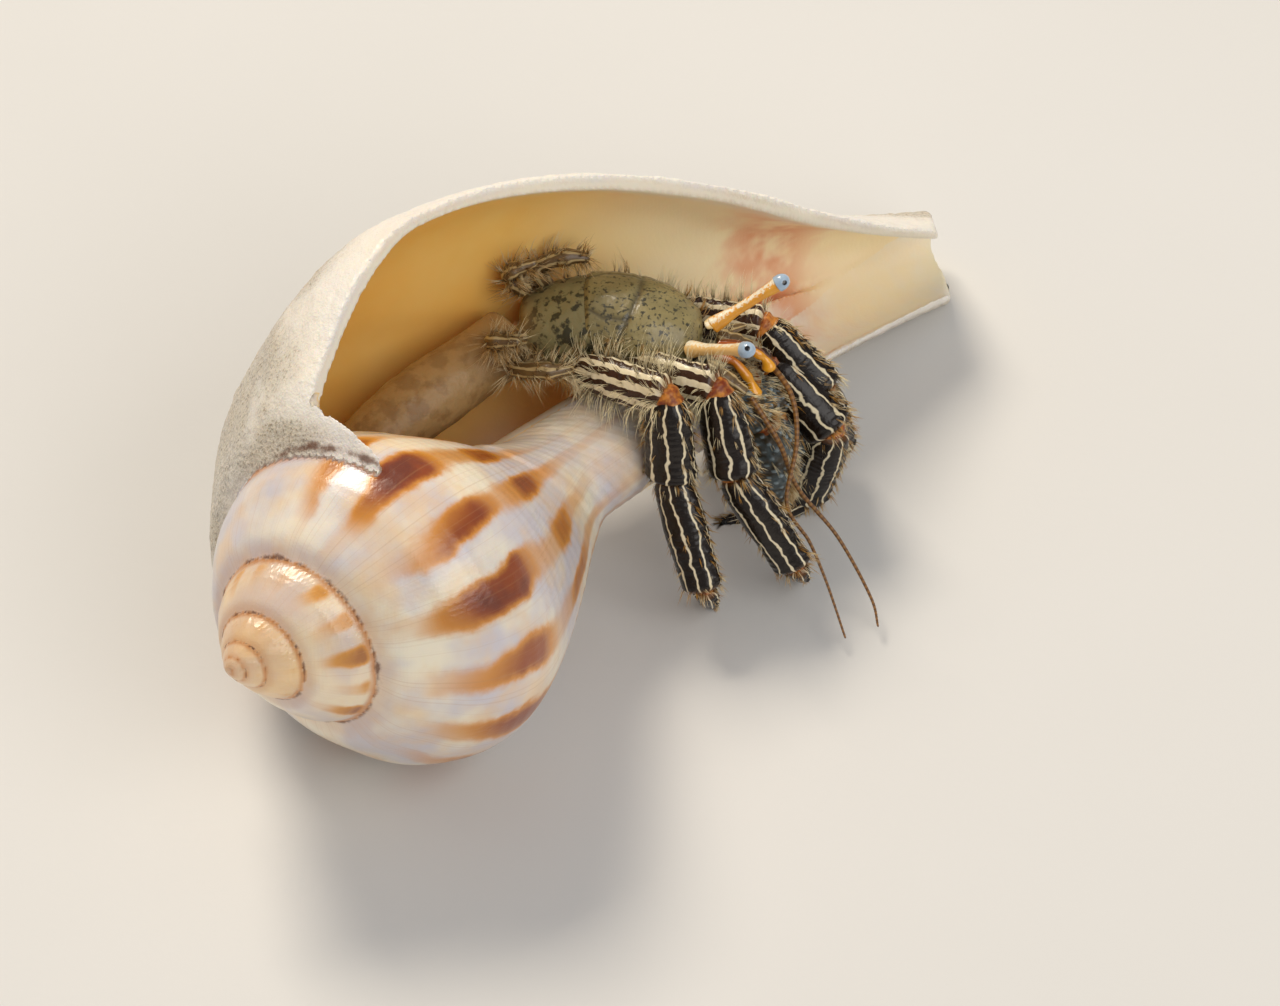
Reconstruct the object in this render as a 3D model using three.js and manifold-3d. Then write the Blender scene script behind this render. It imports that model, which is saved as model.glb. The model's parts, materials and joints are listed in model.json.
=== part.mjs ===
// A life-size thinstripe hermit crab half out of a worn whelk shell, for a museum case.
// Millimetres, +Z up. The origin is the middle of the model's box, at the floor. +X is the way
// the crab faces, and the shell lies on its body whorl with the aperture opening upwards.

import * as THREE from "three";
import { mergeVertices } from "three/addons/utils/BufferGeometryUtils.js";
import Module from "manifold-3d";

const wasm = await Module();
wasm.setup();

// ---- Driving dimensions -------------------------------------------------------------

const GAP = 0.3; // clearance between pieces that meet
const SLIVER = 0.01; // faces thinner than this are merged into their neighbours
const SHELL_LENGTH = 98; // apex to the end of the canal
const FLAT_SINK = 0.12; // how far the round parts press into the floor, which makes the flats

// The shell grows as a right-handed spiral: each whole turn is WHORL_RATIO times the last.
const WHORL_RATIO = 1.925;
const AXIS_TURN = 49.8; // degrees from +X to +Y, of the shell's axis from apex to canal
const AXIS_DIP = 11.8; // degrees that the canal end hangs below the level
const SUTURE_TURN = 61.4; // degrees round the axis where the outer lip leaves the last whorl
const WALL = 1.6;
const APEX = new THREE.Vector3(-32, -37.4, 25.55);
const CANAL_BEND = 3.6; // sideways set of the canal's end
const CANAL_BEND_SHARES = [0.55, 0.42]; // where the set begins, and over what share it comes in

// A whorl's outline, as shares of the shell's length: distance from the apex, then radius.
const SHOULDER_TO_CANAL = [
  [0.1719, 0.15],
  [0.19, 0.196],
  [0.2362, 0.238],
  [0.2822, 0.272],
  [0.3493, 0.293],
  [0.4136, 0.29],
  [0.5, 0.255],
  [0.6, 0.198],
  [0.68, 0.145],
  [0.76, 0.103],
  [0.85, 0.075],
  [1.05, 0.046],
];
// The same at the outer lip, which flares out over the last LIP_FLARE degrees of growth.
const LIP_OUTLINE = [
  [0.1719, 0.16],
  [0.1949, 0.2068],
  [0.2362, 0.246],
  [0.2822, 0.282],
  [0.3493, 0.308],
  [0.4136, 0.3079],
  [0.5092, 0.2895],
  [0.6204, 0.2482],
  [0.7252, 0.193],
  [0.8235, 0.1296],
  [0.9108, 0.0901],
  [1.05, 0.0533],
];
const OUTLINE_START = 0.1719;
const OUTLINE_END = 1.05;
const ROW_SPREAD = 1.25; // above 1, the rows of a whorl lie closer together at its shoulder
const ROOT_RADIUS = 0.008; // how near to the axis a whorl's inner edge comes, as a share of its size
const ROOM_SHARES = [0.205, 1.07]; // the outline's shares for the space inside, under a thick shoulder
const ROOM_TURNS = [-305, 100]; // growth angles between which that space is open
const ROOM_CLOSES = 15; // growth angle past which its floor rises to the canal's outside
const ROOM_SKIN = 0.35; // of the last whorl's wall, left on top of the one before
const ROOM_LEAST = 0.4; // least height of the space
const WALL_SIDE = 0.75; // of WALL: how far the inside keeps from the outside, straight and sideways
const LIP_FLARE = [-75, -30];
const WAIST_TURN = [-180, -85]; // before it flares, growth slows a little
const LIP_WAIST = 0.065;

// Growth angle of the outer lip: level with LIP_BACK, swept forward towards the canal.
const LIP_BACK = -31;
const LIP_SWEEP = 67;
const LIP_SWEEP_SHARES = [0.35, 0.6]; // where the sweep begins, and over what share it comes in
const LIP_SWEEP_POWER = 2.6;
const LIP_TOOTH = [0.172, 0.225]; // where the lip runs out along the seam as a thin tooth

// The canal is a gutter about the shell's axis: [share of the length, radius] of its outside.
const CANAL_OUTSIDE = [
  [0.4, 8.0],
  [0.47, 7.1],
  [0.65, 6.7],
  [0.82, 5.1],
  [1.0, 4.1],
];
const GUTTER_OPENS = 100; // degrees round the axis that the gutter faces
const GUTTER_LIFT = 0.42; // how far the gutter's middle is off the axis, as a share of its radius
const GUTTER_START_LIFT = 2; // the same where it begins
const GUTTER_SINKS = [0.4, 0.95]; // share of the length over which it sinks in
const GUTTER_EDGE = 0.9;
const GUTTER_SHARES = [0.42, 1.05];
const CANAL_CLEAR = 0.3; // between the canal's outside and the floor of the space inside
const CORE_SHARES = [0.36, 1.02]; // of the length, between which the core is solid
// The round tip that closes the spire: its place and half lengths, as shares of the first whorl.
const APEX_NUB = { at: 0.25, half: [0.16, 0.25, 0.25] };
const COLUMELLA = [
  [0.0, 1.4],
  [0.3, 4.2],
  [0.5, 4.0],
  [0.75, 2.6],
  [1.0, 1.6],
];

// ---- Small helpers --------------------------------------------------------------------

const rad = THREE.MathUtils.degToRad;
const lerp = THREE.MathUtils.lerp;
const smoothstep = THREE.MathUtils.smoothstep;
const vec = (x, y, z) => new THREE.Vector3(x, y, z);

/** The value at x of the straight lines through a table of [x, value] rows. */
function along(table, x) {
  let i = 0;
  while (i < table.length - 2 && x > table[i + 1][0]) i++;
  const [[x0, v0], [x1, v1]] = [table[i], table[i + 1]];
  return lerp(v0, v1, THREE.MathUtils.clamp((x - x0) / (x1 - x0), 0, 1));
}

/** A unit vector from a compass turn (from +X towards +Y) and a rise above the level, in degrees. */
function heading(turn, rise) {
  const t = rad(turn);
  const r = rad(rise);
  return vec(Math.cos(r) * Math.cos(t), Math.cos(r) * Math.sin(t), Math.sin(r));
}

/** Moves every vertex of a geometry to map(x, y, z). */
function warp(geometry, map) {
  const p = geometry.getAttribute("position");
  for (let i = 0; i < p.count; i++) {
    const to = map(p.getX(i), p.getY(i), p.getZ(i));
    p.setXYZ(i, to.x, to.y, to.z);
  }
  return geometry;
}

/** A closed geometry as a solid for cutting and joining. */
function solid(geometry) {
  const bare = geometry.index ? geometry : mergeVertices(geometry);
  for (const name of ["normal", "uv"]) bare.deleteAttribute(name);
  const merged = mergeVertices(bare, 1e-4);
  const mesh = (triVerts) =>
    new wasm.Mesh({
      numProp: 3,
      vertProperties: new Float32Array(merged.attributes.position.array),
      triVerts,
    });
  const triVerts = new Uint32Array(merged.index.array);
  const made = new wasm.Manifold(mesh(triVerts));
  if (made.volume() > 0) return made;
  return new wasm.Manifold(mesh(triVerts.slice().reverse()));
}

/** The largest body of a solid, without the crumbs and slivers that a cut leaves. */
function mainBody(cut) {
  const bodies = cut.decompose();
  return bodies.reduce((a, b) => (b.volume() > a.volume() ? b : a)).asOriginal().simplify(SLIVER);
}

/** A solid as a named three.js mesh. */
function part(name, cut, material) {
  const { vertProperties, triVerts, numProp, numVert } = mainBody(cut).getMesh();
  const position = new Float32Array(numVert * 3);
  for (let i = 0; i < numVert; i++) {
    position.set(vertProperties.subarray(i * numProp, i * numProp + 3), i * 3);
  }
  const geometry = new THREE.BufferGeometry();
  geometry.setAttribute("position", new THREE.BufferAttribute(position, 3));
  geometry.setIndex(new THREE.BufferAttribute(new Uint32Array(triVerts), 1));
  geometry.computeVertexNormals();
  const mesh = new THREE.Mesh(geometry, material);
  mesh.name = name;
  return mesh;
}

/** The part of a solid on the side of a plane that its normal points to. */
function keepSide(body, point, normal, gap = 0) {
  const n = normal.clone().normalize();
  return body.trimByPlane([n.x, n.y, n.z], n.dot(point) + gap);
}

/** Cuts a piece level with the floor, which leaves the flat that it stands on. */
function standOnFloor(body) {
  return body.trimByPlane([0, 0, 1], 0);
}

/** A closed tube along a curve. size(s) gives its half widths [across, upright] at share s. */
function tube(curve, size, { sides = 10, steps = 6, across }) {
  const frames = [];
  for (let i = 0; i <= steps; i++) {
    const s = i / steps;
    const dir = curve.getTangent(s);
    const flat = across.clone().addScaledVector(dir, -across.dot(dir)).normalize();
    frames.push({ at: curve.getPoint(s), flat, upright: flat.clone().cross(dir), size: size(s) });
  }
  const blank = new THREE.CylinderGeometry(1, 1, 1, sides, steps);
  return solid(
    warp(blank, (x, y, z) => {
      const f = frames[Math.round((y + 0.5) * steps)];
      return f.at
        .clone()
        .addScaledVector(f.flat, x * f.size[0])
        .addScaledVector(f.upright, z * f.size[1]);
    }),
  );
}

/** An egg shape: half lengths along three directions, with the middle at a point. */
function egg(at, [ax, ay, az], [rx, ry, rz], rings = [8, 6]) {
  const ball = new THREE.SphereGeometry(1, ...rings);
  return solid(
    warp(ball, (x, y, z) =>
      at
        .clone()
        .addScaledVector(ax, x * rx)
        .addScaledVector(ay, y * ry)
        .addScaledVector(az, z * rz),
    ),
  );
}

// ---- The crab's dimensions ------------------------------------------------------------

const FACE = new THREE.Vector3(10.3, 5.6, 22);
const TRUNK_MIDDLE = new THREE.Vector3(2.1, 8, 22.2);
const TRUNK_REAR = new THREE.Vector3(-6.4, 7.8, 21);
const TRUNK_WIDTH = [
  [0, 3.6],
  [0.1, 6.6],
  [0.3, 9.2],
  [0.7, 9.4],
  [1, 6.8],
];
const TRUNK_HEIGHT = 0.86; // of its width
const SHIELD_SHARE = 0.62; // of the trunk, from the face
const SHIELD_EDGE = 0.6; // height of the shield's edge above the trunk's middle

// The abdomen follows the shell's spiral, in degrees round the axis, with shares of the whorl's size.
const ABDOMEN_TURNS = [-36, -190];
const ABDOMEN_TURN_STEP = 38.5;
const ABDOMEN_RADIUS = 0.15;
const ABDOMEN_DISTANCE = 0.43;
const ABDOMEN_SIZE = [
  [0, 3.1],
  [0.25, 3.4],
  [0.6, 3.0],
  [0.9, 2.1],
  [1, 1.2],
];
const ABDOMEN_LENGTHS = [
  { name: "abdomen_front", from: 0, to: 0.32 },
  { name: "abdomen_middle", from: 0.32, to: 0.62 },
  { name: "abdomen_rear", from: 0.62, to: 0.9 },
  { name: "tail_fan", from: 0.9, to: 1 },
];

// The pieces of a limb, from the body out: half width and half thickness, and how they swell.
const MERUS = { piece: "merus", size: [2.1, 1.45], swell: [[0, 0.8], [0.4, 1], [1, 0.95]] };
const CARPUS = { piece: "carpus", size: [2.15, 1.6], swell: [[0, 0.8], [0.5, 1], [1, 1]] };
const PROPODUS = { piece: "propodus", size: [2.0, 1.5], swell: [[0, 0.92], [0.4, 1], [1, 0.85]] };
const DACTYL = {
  piece: "dactyl",
  size: [1.5, 1.15],
  swell: [[0, 1], [0.5, 0.75], [1, 0.28]],
  bow: 1,
};
const CLAW_MERUS = { piece: "merus", size: [1.8, 1.5], swell: [[0, 0.8], [0.5, 1], [1, 1]] };
const CLAW_CARPUS = { piece: "carpus", size: [2.1, 1.8], swell: [[0, 0.85], [0.6, 1], [1, 1]] };
const HAND = {
  piece: "hand",
  size: [2.6, 1.9],
  swell: [[0, 0.75], [0.35, 1], [0.65, 0.85], [1, 0.25]],
};
const PALM_SHARE = 0.55; // of the hand's length, where its fingers part
const MITRE_REACH = 0.55; // of its width, how far a piece runs past a joint before it is mitred

const LIMB_KINDS = {
  leg: {
    lengths: [9.7, 8.4, 10.8, 8.4],
    pieces: [MERUS, CARPUS, PROPODUS, DACTYL],
    material: "leg",
  },
  claw: {
    lengths: [6.4, 3.9, 10.3],
    pieces: [CLAW_MERUS, CLAW_CARPUS, HAND],
    material: "claw",
  },
};

// Each limb's hip, from the middle of the trunk, and the heading of each piece: turn and rise.
// The last piece of a walking leg has only a turn, as it reaches down to the floor.
const LIMBS = {
  leg_2_right: {
    kind: "leg",
    hip: vec(0.9, -4.3, -1),
    bends: [[-27, 8], [-66, -61], [-32, -53]],
    toFloor: 85,
  },
  leg_3_right: {
    kind: "leg",
    hip: vec(-3.2, -5.5, -0.3),
    bends: [[-31, 10], [-82, -70], [-63, -54]],
    toFloor: 84,
  },
  leg_2_left: {
    kind: "leg",
    hip: vec(5.4, 2.1, -3),
    bends: [[-17, -10], [-32, -40], [147, -76]],
    toFloor: -167,
  },
  leg_3_left: {
    kind: "leg",
    hip: vec(4.2, 3.2, -1.8),
    bends: [[-12, 0], [-25, -45], [63, -74]],
    toFloor: 133,
  },
  claw_right: {
    kind: "claw",
    hip: vec(4.5, -4.5, -2.9),
    bends: [[-13, -10], [0, -41], [-41, -79]],
  },
  claw_left: {
    kind: "claw",
    hip: vec(6.5, -2.3, -3.6),
    bends: [[-4, -18], [4, -46], [-50, -81]],
  },
};

// Where each eyestalk leaves the front of the shield, its heading and its length.
const EYESTALKS = {
  right: { root: vec(9.1, 3.9, 23), turn: -38, rise: 33, length: 7.8 },
  left: { root: vec(11.1, 6.7, 23), turn: 17, rise: 30, length: 7.6 },
};
const STALK_RADIUS = [[0, 0.85], [0.3, 0.66], [1, 0.72]];
const EYE_SIZE = [0.8, 0.9, 0.8];
const EYE_SINK = 0.25;

// Feelers, mouth legs and small legs are rods of four kinds. radii is the radius along a rod.
const ROD_KINDS = {
  antennule: {
    radii: [[0, 0.5], [0.7, 0.5], [0.9, 0.75], [1, 0.6]],
    steps: 7,
    sides: 6,
    material: "feeler",
  },
  antenna_base: {
    radii: [[0, 0.85], [0.5, 0.9], [1, 0.65]],
    steps: 4,
    sides: 7,
    material: "feeler",
  },
  antenna: {
    radii: [[0, 0.42], [1, 0.26]],
    steps: 14,
    sides: 6,
    material: "feeler",
  },
  mouth_leg: {
    radii: [[0, 0.6], [0.5, 0.6], [1, 0.35]],
    steps: 5,
    sides: 6,
    material: "flesh",
  },
  small_leg: {
    radii: [[0, 0.9], [0.3, 0.75], [0.7, 0.85], [1, 0.4]],
    steps: 8,
    sides: 6,
    material: "leg",
  },
};

// The rods that reach out from the face, each through its points.
const FEELERS = [
  {
    name: "antennule_right",
    kind: "antennule",
    points: [[11.1, 4.4, 21.9], [13.2, 4.2, 21], [14.7, 3.4, 19.2], [15.2, 2.7, 17.6]],
  },
  {
    name: "antennule_left",
    kind: "antennule",
    points: [[11.6, 5.3, 22.2], [14.1, 5.1, 22], [15.9, 4.8, 20.9], [16.6, 4.5, 19.5]],
  },
  {
    name: "antenna_right_base",
    kind: "antenna_base",
    points: [[10.4, 3.1, 21.6], [12.3, 2.2, 21], [14.3, 1.3, 19.9]],
  },
  {
    name: "antenna_left_base",
    kind: "antenna_base",
    points: [[11.6, 7.1, 21.2], [13.1, 6.8, 21], [14.9, 6.5, 20.5]],
  },
  {
    name: "antenna_right",
    kind: "antenna",
    points: [
      [14.7, 1.1, 19.6],
      [17.3, -1.2, 15.9],
      [19, -2.2, 11],
      [22.7, -4.2, 6.5],
      [25.7, -8.4, 3],
      [26.4, -10.8, 1.5],
    ],
  },
  {
    name: "antenna_left",
    kind: "antenna",
    points: [
      [15.3, 6.4, 20.4],
      [18.3, 2.6, 18.6],
      [18.9, -0.7, 15.5],
      [18, -4.4, 11.3],
      [20.1, -6.2, 8],
      [21.7, -8.4, 4.8],
      [23.4, -12.2, 1.5],
    ],
  },
];

// The outer pair of mouth legs, and the two pairs of small legs that brace the crab in its shell.
const SMALL_LIMBS = [
  {
    name: "mouth_leg_right",
    kind: "mouth_leg",
    points: [[11.2, 4.9, 19.7], [13.4, 4.6, 19.7], [14.7, 4.5, 18.1]],
  },
  {
    name: "mouth_leg_left",
    kind: "mouth_leg",
    points: [[11.5, 6.2, 19.8], [13.5, 6.1, 19.5], [14.9, 6, 18.1]],
  },
  {
    name: "leg_4_right",
    kind: "small_leg",
    points: [[-4.3, 3.6, 21.9], [-6.7, 1.3, 23.2], [-3.5, -0.1, 24.4], [-1.3, 0.3, 24.4]],
  },
  {
    name: "leg_5_right",
    kind: "small_leg",
    points: [[-5.9, 4.7, 23.6], [-8.7, 2.8, 25.2], [-6.1, 1.8, 26.2]],
  },
  {
    name: "leg_4_left",
    kind: "small_leg",
    points: [[-3.7, 11.4, 22.8], [-4.7, 12, 25.2], [-1.9, 12.4, 26.2], [0.1, 12.3, 26]],
  },
  {
    name: "leg_5_left",
    kind: "small_leg",
    points: [[-5.7, 10.2, 24], [-7.3, 10.2, 26.2], [-4.7, 10.6, 27.4]],
  },
];

const finish = (color, roughness, metalness = 0) =>
  new THREE.MeshStandardMaterial({ color, roughness, metalness });

const MATERIALS = {
  shell: finish("#e6d8bf", 0.4),
  shield: finish("#6f6a45", 0.45),
  leg: finish("#2b2519", 0.4),
  claw: finish("#3a3526", 0.5),
  stalk: finish("#e0a53a", 0.35),
  eye: finish("#a9bedd", 0.15),
  feeler: finish("#8a6030", 0.5),
  flesh: finish("#a98f63", 0.5),
};

// ---- The shell ------------------------------------------------------------------------

const axis = heading(AXIS_TURN, -AXIS_DIP);
const SPIN_START = vec(-0.552, 0.62, 0.558).projectOnPlane(axis).normalize();
const SPIN_NEXT = SPIN_START.clone().cross(axis).negate();

/** A point of the shell: radius and distance from the apex in mm, and degrees round the axis. */
function shellPoint(radius, distance, turn) {
  const a = rad(turn);
  const [bendStart, bendReach] = CANAL_BEND_SHARES;
  const bend = CANAL_BEND * (Math.max(0, distance / SHELL_LENGTH - bendStart) / bendReach) ** 2;
  return APEX.clone()
    .addScaledVector(axis, distance)
    .addScaledVector(SPIN_START, radius * Math.cos(a) - bend)
    .addScaledVector(SPIN_NEXT, radius * Math.sin(a));
}

const growth = (turn) => WHORL_RATIO ** (turn / 360);

const TABLE_STEPS = 90;

/** A smooth curve through [distance, radius] rows, as a finer table. */
function smoothRows(rows) {
  const curve = new THREE.SplineCurve(rows.map(([d, r]) => new THREE.Vector2(d, r)));
  return curve.getPoints(TABLE_STEPS).map((p) => [p.x, p.y]);
}

const bodyRows = smoothRows(SHOULDER_TO_CANAL);
const lipRows = smoothRows(LIP_OUTLINE);

/** The radius of the whorl's outline at a share of the length, at a growth angle. */
function outlineRadius(share, turn) {
  const waist = 1 - LIP_WAIST * smoothstep(turn, ...WAIST_TURN);
  const flare = smoothstep(turn, ...LIP_FLARE);
  return lerp(along(bodyRows, share) * waist, along(lipRows, share), flare);
}

/** The growth angle of the outer lip at a share of the length. */
function lipTurn(share) {
  const [sweepStart, sweepReach] = LIP_SWEEP_SHARES;
  const sweep = LIP_SWEEP * Math.max(0, (share - sweepStart) / sweepReach) ** LIP_SWEEP_POWER;
  return LIP_BACK * smoothstep(share, ...LIP_TOOTH) + sweep;
}

/** A wedge of the shell's outside between two growth angles, from near the axis to the outline. */
function whorl(from, to, steps, rows) {
  const blank = new THREE.BoxGeometry(1, 1, 1, steps, rows, 1);
  return solid(
    warp(blank, (x, y, z) => {
      const share = lerp(OUTLINE_START, OUTLINE_END, (0.5 - y) ** ROW_SPREAD);
      const turn = lerp(from, to(share), x + 0.5);
      const size = growth(turn) * SHELL_LENGTH;
      const radius = z > 0 ? outlineRadius(share, turn) : ROOT_RADIUS;
      return shellPoint(radius * size, share * size, turn + SUTURE_TURN);
    }),
  );
}

const CANAL_STEPS = 10; // sections along the core and the gutter

/** A round core about the bent axis, from a table of [share of length, radius]. */
function core(table, [from, to], sides) {
  const blank = new THREE.CylinderGeometry(1, 1, 1, sides, CANAL_STEPS);
  return solid(
    warp(blank, (x, y, z) => {
      const share = lerp(from, to, y + 0.5);
      const radius = along(table, share) * Math.hypot(x, z);
      const turn = THREE.MathUtils.radToDeg(Math.atan2(z, x));
      return shellPoint(radius, share * SHELL_LENGTH, turn);
    }),
  );
}

/** The canal's gutter: a round channel that sinks into the core and opens towards GUTTER_OPENS. */
function gutter([from, to], sides) {
  const blank = new THREE.CylinderGeometry(1, 1, 1, sides, CANAL_STEPS);
  const open = rad(GUTTER_OPENS);
  return solid(
    warp(blank, (x, y, z) => {
      const share = lerp(from, to, y + 0.5);
      const outside = along(CANAL_OUTSIDE, share);
      const radius = outside - GUTTER_EDGE;
      const sunk = smoothstep(share, ...GUTTER_SINKS);
      const lift = outside * lerp(GUTTER_START_LIFT, GUTTER_LIFT, sunk);
      const w = x * radius + lift * Math.cos(open);
      const n = z * radius + lift * Math.sin(open);
      const turn = THREE.MathUtils.radToDeg(Math.atan2(n, w));
      return shellPoint(Math.hypot(w, n), share * SHELL_LENGTH, turn);
    }),
  );
}

/** The radius of the inside of the whorl's wall. The wall is kept thick where it slopes. */
function insideRadius(share, turn) {
  const slope = WALL_SIDE * (WALL / SHELL_LENGTH);
  const near = Math.min(outlineRadius(share - slope, turn), outlineRadius(share + slope, turn));
  return near * growth(turn) * SHELL_LENGTH - WALL_SIDE * WALL;
}

/** The space inside the last whorl, which runs out past the lip as the aperture and the canal. */
function room([from, to], rows) {
  const blank = new THREE.BoxGeometry(1, 1, 1, (to - from) / GRID_STEP, rows, 1);
  return solid(
    warp(blank, (x, y, z) => {
      const turn = lerp(from, to, x + 0.5);
      const size = growth(turn) * SHELL_LENGTH;
      const share = lerp(...ROOM_SHARES, 0.5 - y);
      const distance = share * size;
      const olderShare = share * WHORL_RATIO;
      const older = olderShare > OUTLINE_END ? 0 : outlineRadius(olderShare, turn - 360);
      const pillar = along(COLUMELLA, distance / SHELL_LENGTH);
      const outside = along(CANAL_OUTSIDE, distance / SHELL_LENGTH) + CANAL_CLEAR;
      const floor = lerp(pillar, outside, smoothstep(turn, ROOM_CLOSES, to));
      const inner = Math.max((older * size) / WHORL_RATIO + ROOM_SKIN, floor);
      const outer = Math.max(insideRadius(share, turn), inner + ROOM_LEAST);
      return shellPoint(z > 0 ? outer : inner, distance, turn + SUTURE_TURN);
    }),
  );
}

/** The end face of the canal, where wear has cut it off square to CANAL_END's direction. */
const CANAL_END = { out: vec(0.967, 0.187, 0.168), distance: 38.69 };

// The shell's outside is drawn in half turns, with a section for every GRID_STEP of growth.
const GRID_STEP = 15;
const SPIRE_START = -1440;
const SPIRE_END = -540;
const SPIRE_ROWS = 8; // rows from shoulder to canal, fewer on the spire's small whorls
const WHORL_ROWS = 14;
const ROOM_ROWS = 12;
const CORE_SIDES = 14;
const GUTTER_SIDES = 12;

function makeShell() {
  const nub = growth(SPIRE_START) * SHELL_LENGTH;
  const tip = egg(
    shellPoint(0, APEX_NUB.at * nub, 0),
    [axis, SPIN_START, SPIN_NEXT],
    APEX_NUB.half.map((h) => h * nub),
  );
  let shell = core(CANAL_OUTSIDE, CORE_SHARES, CORE_SIDES).add(tip);
  for (let turn = SPIRE_START; turn < 0; turn += 180) {
    const end = turn === -180 ? lipTurn : () => turn + 180;
    const rows = turn < SPIRE_END ? SPIRE_ROWS : WHORL_ROWS;
    shell = shell.add(whorl(turn - GRID_STEP, end, 180 / GRID_STEP + 1, rows));
  }
  shell = shell.subtract(room(ROOM_TURNS, ROOM_ROWS)).subtract(gutter(GUTTER_SHARES, GUTTER_SIDES));
  const end = CANAL_END.out.clone().normalize();
  shell = keepSide(shell, end.clone().multiplyScalar(CANAL_END.distance), end.clone().negate());
  return part("shell", standOnFloor(shell), MATERIALS.shell);
}

// ---- The crab -------------------------------------------------------------------------

// Each piece is { name, material, body }. Its fat, a body that is wider by GAP, is cut from the
// pieces after it in the list, so that no two of them touch.

/** Makes the meshes of a list of pieces, each cut clear of those before it. */
function keepApart(pieces) {
  return pieces.map(({ name, material, body }, i) => {
    let rest = body;
    for (const { fat } of pieces.slice(0, i)) {
      if (fat) rest = rest.subtract(fat);
    }
    return part(name, standOnFloor(rest), MATERIALS[material]);
  });
}

/** The trunk runs from the face, over the middle, to the rear where the abdomen begins. */
const TRUNK_LINE = new THREE.CatmullRomCurve3([FACE, TRUNK_MIDDLE, TRUNK_REAR]);
const level = (dir) => vec(-dir.y, dir.x, 0).normalize();

function trunk(grow = 0) {
  const size = (s) => {
    const half = along(TRUNK_WIDTH, s) / 2;
    return [half + grow, half * TRUNK_HEIGHT + grow];
  };
  return tube(TRUNK_LINE, size, { sides: 12, steps: 8, across: level(TRUNK_LINE.getTangent(0.5)) });
}

/** The shield on the front of the back, the thorax under it, and the soft rear of the carapace. */
function trunkPieces() {
  const neck = TRUNK_LINE.getPoint(SHIELD_SHARE);
  const forward = TRUNK_LINE.getTangent(SHIELD_SHARE).negate();
  const up = forward.clone().cross(level(forward)).normalize();
  const edge = neck.clone().addScaledVector(up, SHIELD_EDGE);
  const front = keepSide(trunk(), neck, forward, GAP / 2);
  const shield = keepSide(front, edge, up, GAP / 2);
  const thorax = keepSide(front, edge, up.clone().negate(), GAP / 2);
  const rear = keepSide(trunk(), neck, forward.clone().negate(), GAP / 2);
  return [
    { name: "carapace_shield", material: "shield", body: shield },
    { name: "thorax", material: "flesh", body: thorax },
    { name: "carapace_rear", material: "shield", body: rear, fat: trunk(GAP) },
  ];
}

/** The abdomen goes on into the shell and follows its spiral. It is parted into a few lengths. */
function abdomenPieces() {
  const line = [TRUNK_REAR];
  for (let turn = ABDOMEN_TURNS[0]; turn >= ABDOMEN_TURNS[1]; turn -= ABDOMEN_TURN_STEP) {
    const size = growth(turn - SUTURE_TURN) * SHELL_LENGTH;
    line.push(shellPoint(ABDOMEN_RADIUS * size, ABDOMEN_DISTANCE * size, turn));
  }
  const curve = new THREE.CatmullRomCurve3(line);
  const whole = (grow) => {
    const size = (s) => [along(ABDOMEN_SIZE, s) + grow, along(ABDOMEN_SIZE, s) + grow];
    return tube(curve, size, { sides: 10, steps: 14, across: axis });
  };
  const pieces = ABDOMEN_LENGTHS.map(({ name, from, to }) => {
    let body = keepSide(whole(0), TRUNK_REAR, TRUNK_LINE.getTangent(1), GAP);
    if (from > 0) body = keepSide(body, curve.getPoint(from), curve.getTangent(from), GAP / 2);
    if (to < 1) body = keepSide(body, curve.getPoint(to), curve.getTangent(to).negate(), GAP / 2);
    return { name, material: "flesh", body };
  });
  pieces[pieces.length - 1].fat = whole(GAP);
  return pieces;
}

/** Round rods through points: feelers, mouth legs and small legs. */
function rodPieces(rods) {
  return rods.map(({ name, kind, points }) => {
    const { radii, steps, sides, material } = ROD_KINDS[kind];
    const path = points.map((p) => vec(...p));
    const curve = new THREE.CatmullRomCurve3(path);
    // The rod bends in the plane of its first three points, so across that plane is never along it.
    const across = path[1].clone().sub(path[0]).cross(path[2].clone().sub(path[1])).normalize();
    const rod = (grow) => {
      const size = (s) => [along(radii, s) + grow, along(radii, s) + grow];
      return tube(curve, size, { sides, steps, across });
    };
    return { name, material, body: rod(0), fat: rod(GAP) };
  });
}

/** The two eyes, each on its stalk. */
function eyePieces() {
  return Object.entries(EYESTALKS).flatMap(([side, { root, turn, rise, length }]) => {
    const dir = heading(turn, rise);
    const across = level(dir);
    const tip = root.clone().addScaledVector(dir, length);
    const rod = (grow) => {
      const size = (s) => [along(STALK_RADIUS, s) + grow, along(STALK_RADIUS, s) + grow];
      return tube(new THREE.LineCurve3(root, tip), size, { sides: 8, steps: 3, across });
    };
    const eyeball = egg(tip, [across, dir, dir.clone().cross(across)], EYE_SIZE);
    const stalk = keepSide(rod(0), tip, dir.clone().negate(), EYE_SINK + GAP);
    return [
      { name: `eyestalk_${side}`, material: "stalk", body: stalk },
      {
        name: `eye_${side}`,
        material: "eye",
        body: keepSide(eyeball, tip, dir, -EYE_SINK),
        fat: rod(GAP),
      },
    ];
  });
}

/** The joints of a limb, from the hip out. The last piece of a walking leg reaches the floor. */
function limbJoints({ hip, bends, toFloor }, lengths) {
  const joints = [TRUNK_MIDDLE.clone().add(hip)];
  bends.forEach(([turn, rise], i) => {
    joints.push(joints[i].clone().addScaledVector(heading(turn, rise), lengths[i]));
  });
  if (toFloor) {
    const ankle = joints[joints.length - 1];
    const drop = THREE.MathUtils.radToDeg(Math.asin((ankle.z + FLAT_SINK) / lengths[bends.length]));
    joints.push(ankle.clone().addScaledVector(heading(toFloor, -drop), lengths[bends.length]));
  }
  return joints;
}

/** The direction of a stretch of a limb, from one joint to the next. */
const stretch = (joints, i) => joints[i + 1].clone().sub(joints[i]).normalize();

/** The direction across a limb that its knees bend about. */
const hinge = (joints) => stretch(joints, 0).cross(stretch(joints, 1)).normalize();

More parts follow.
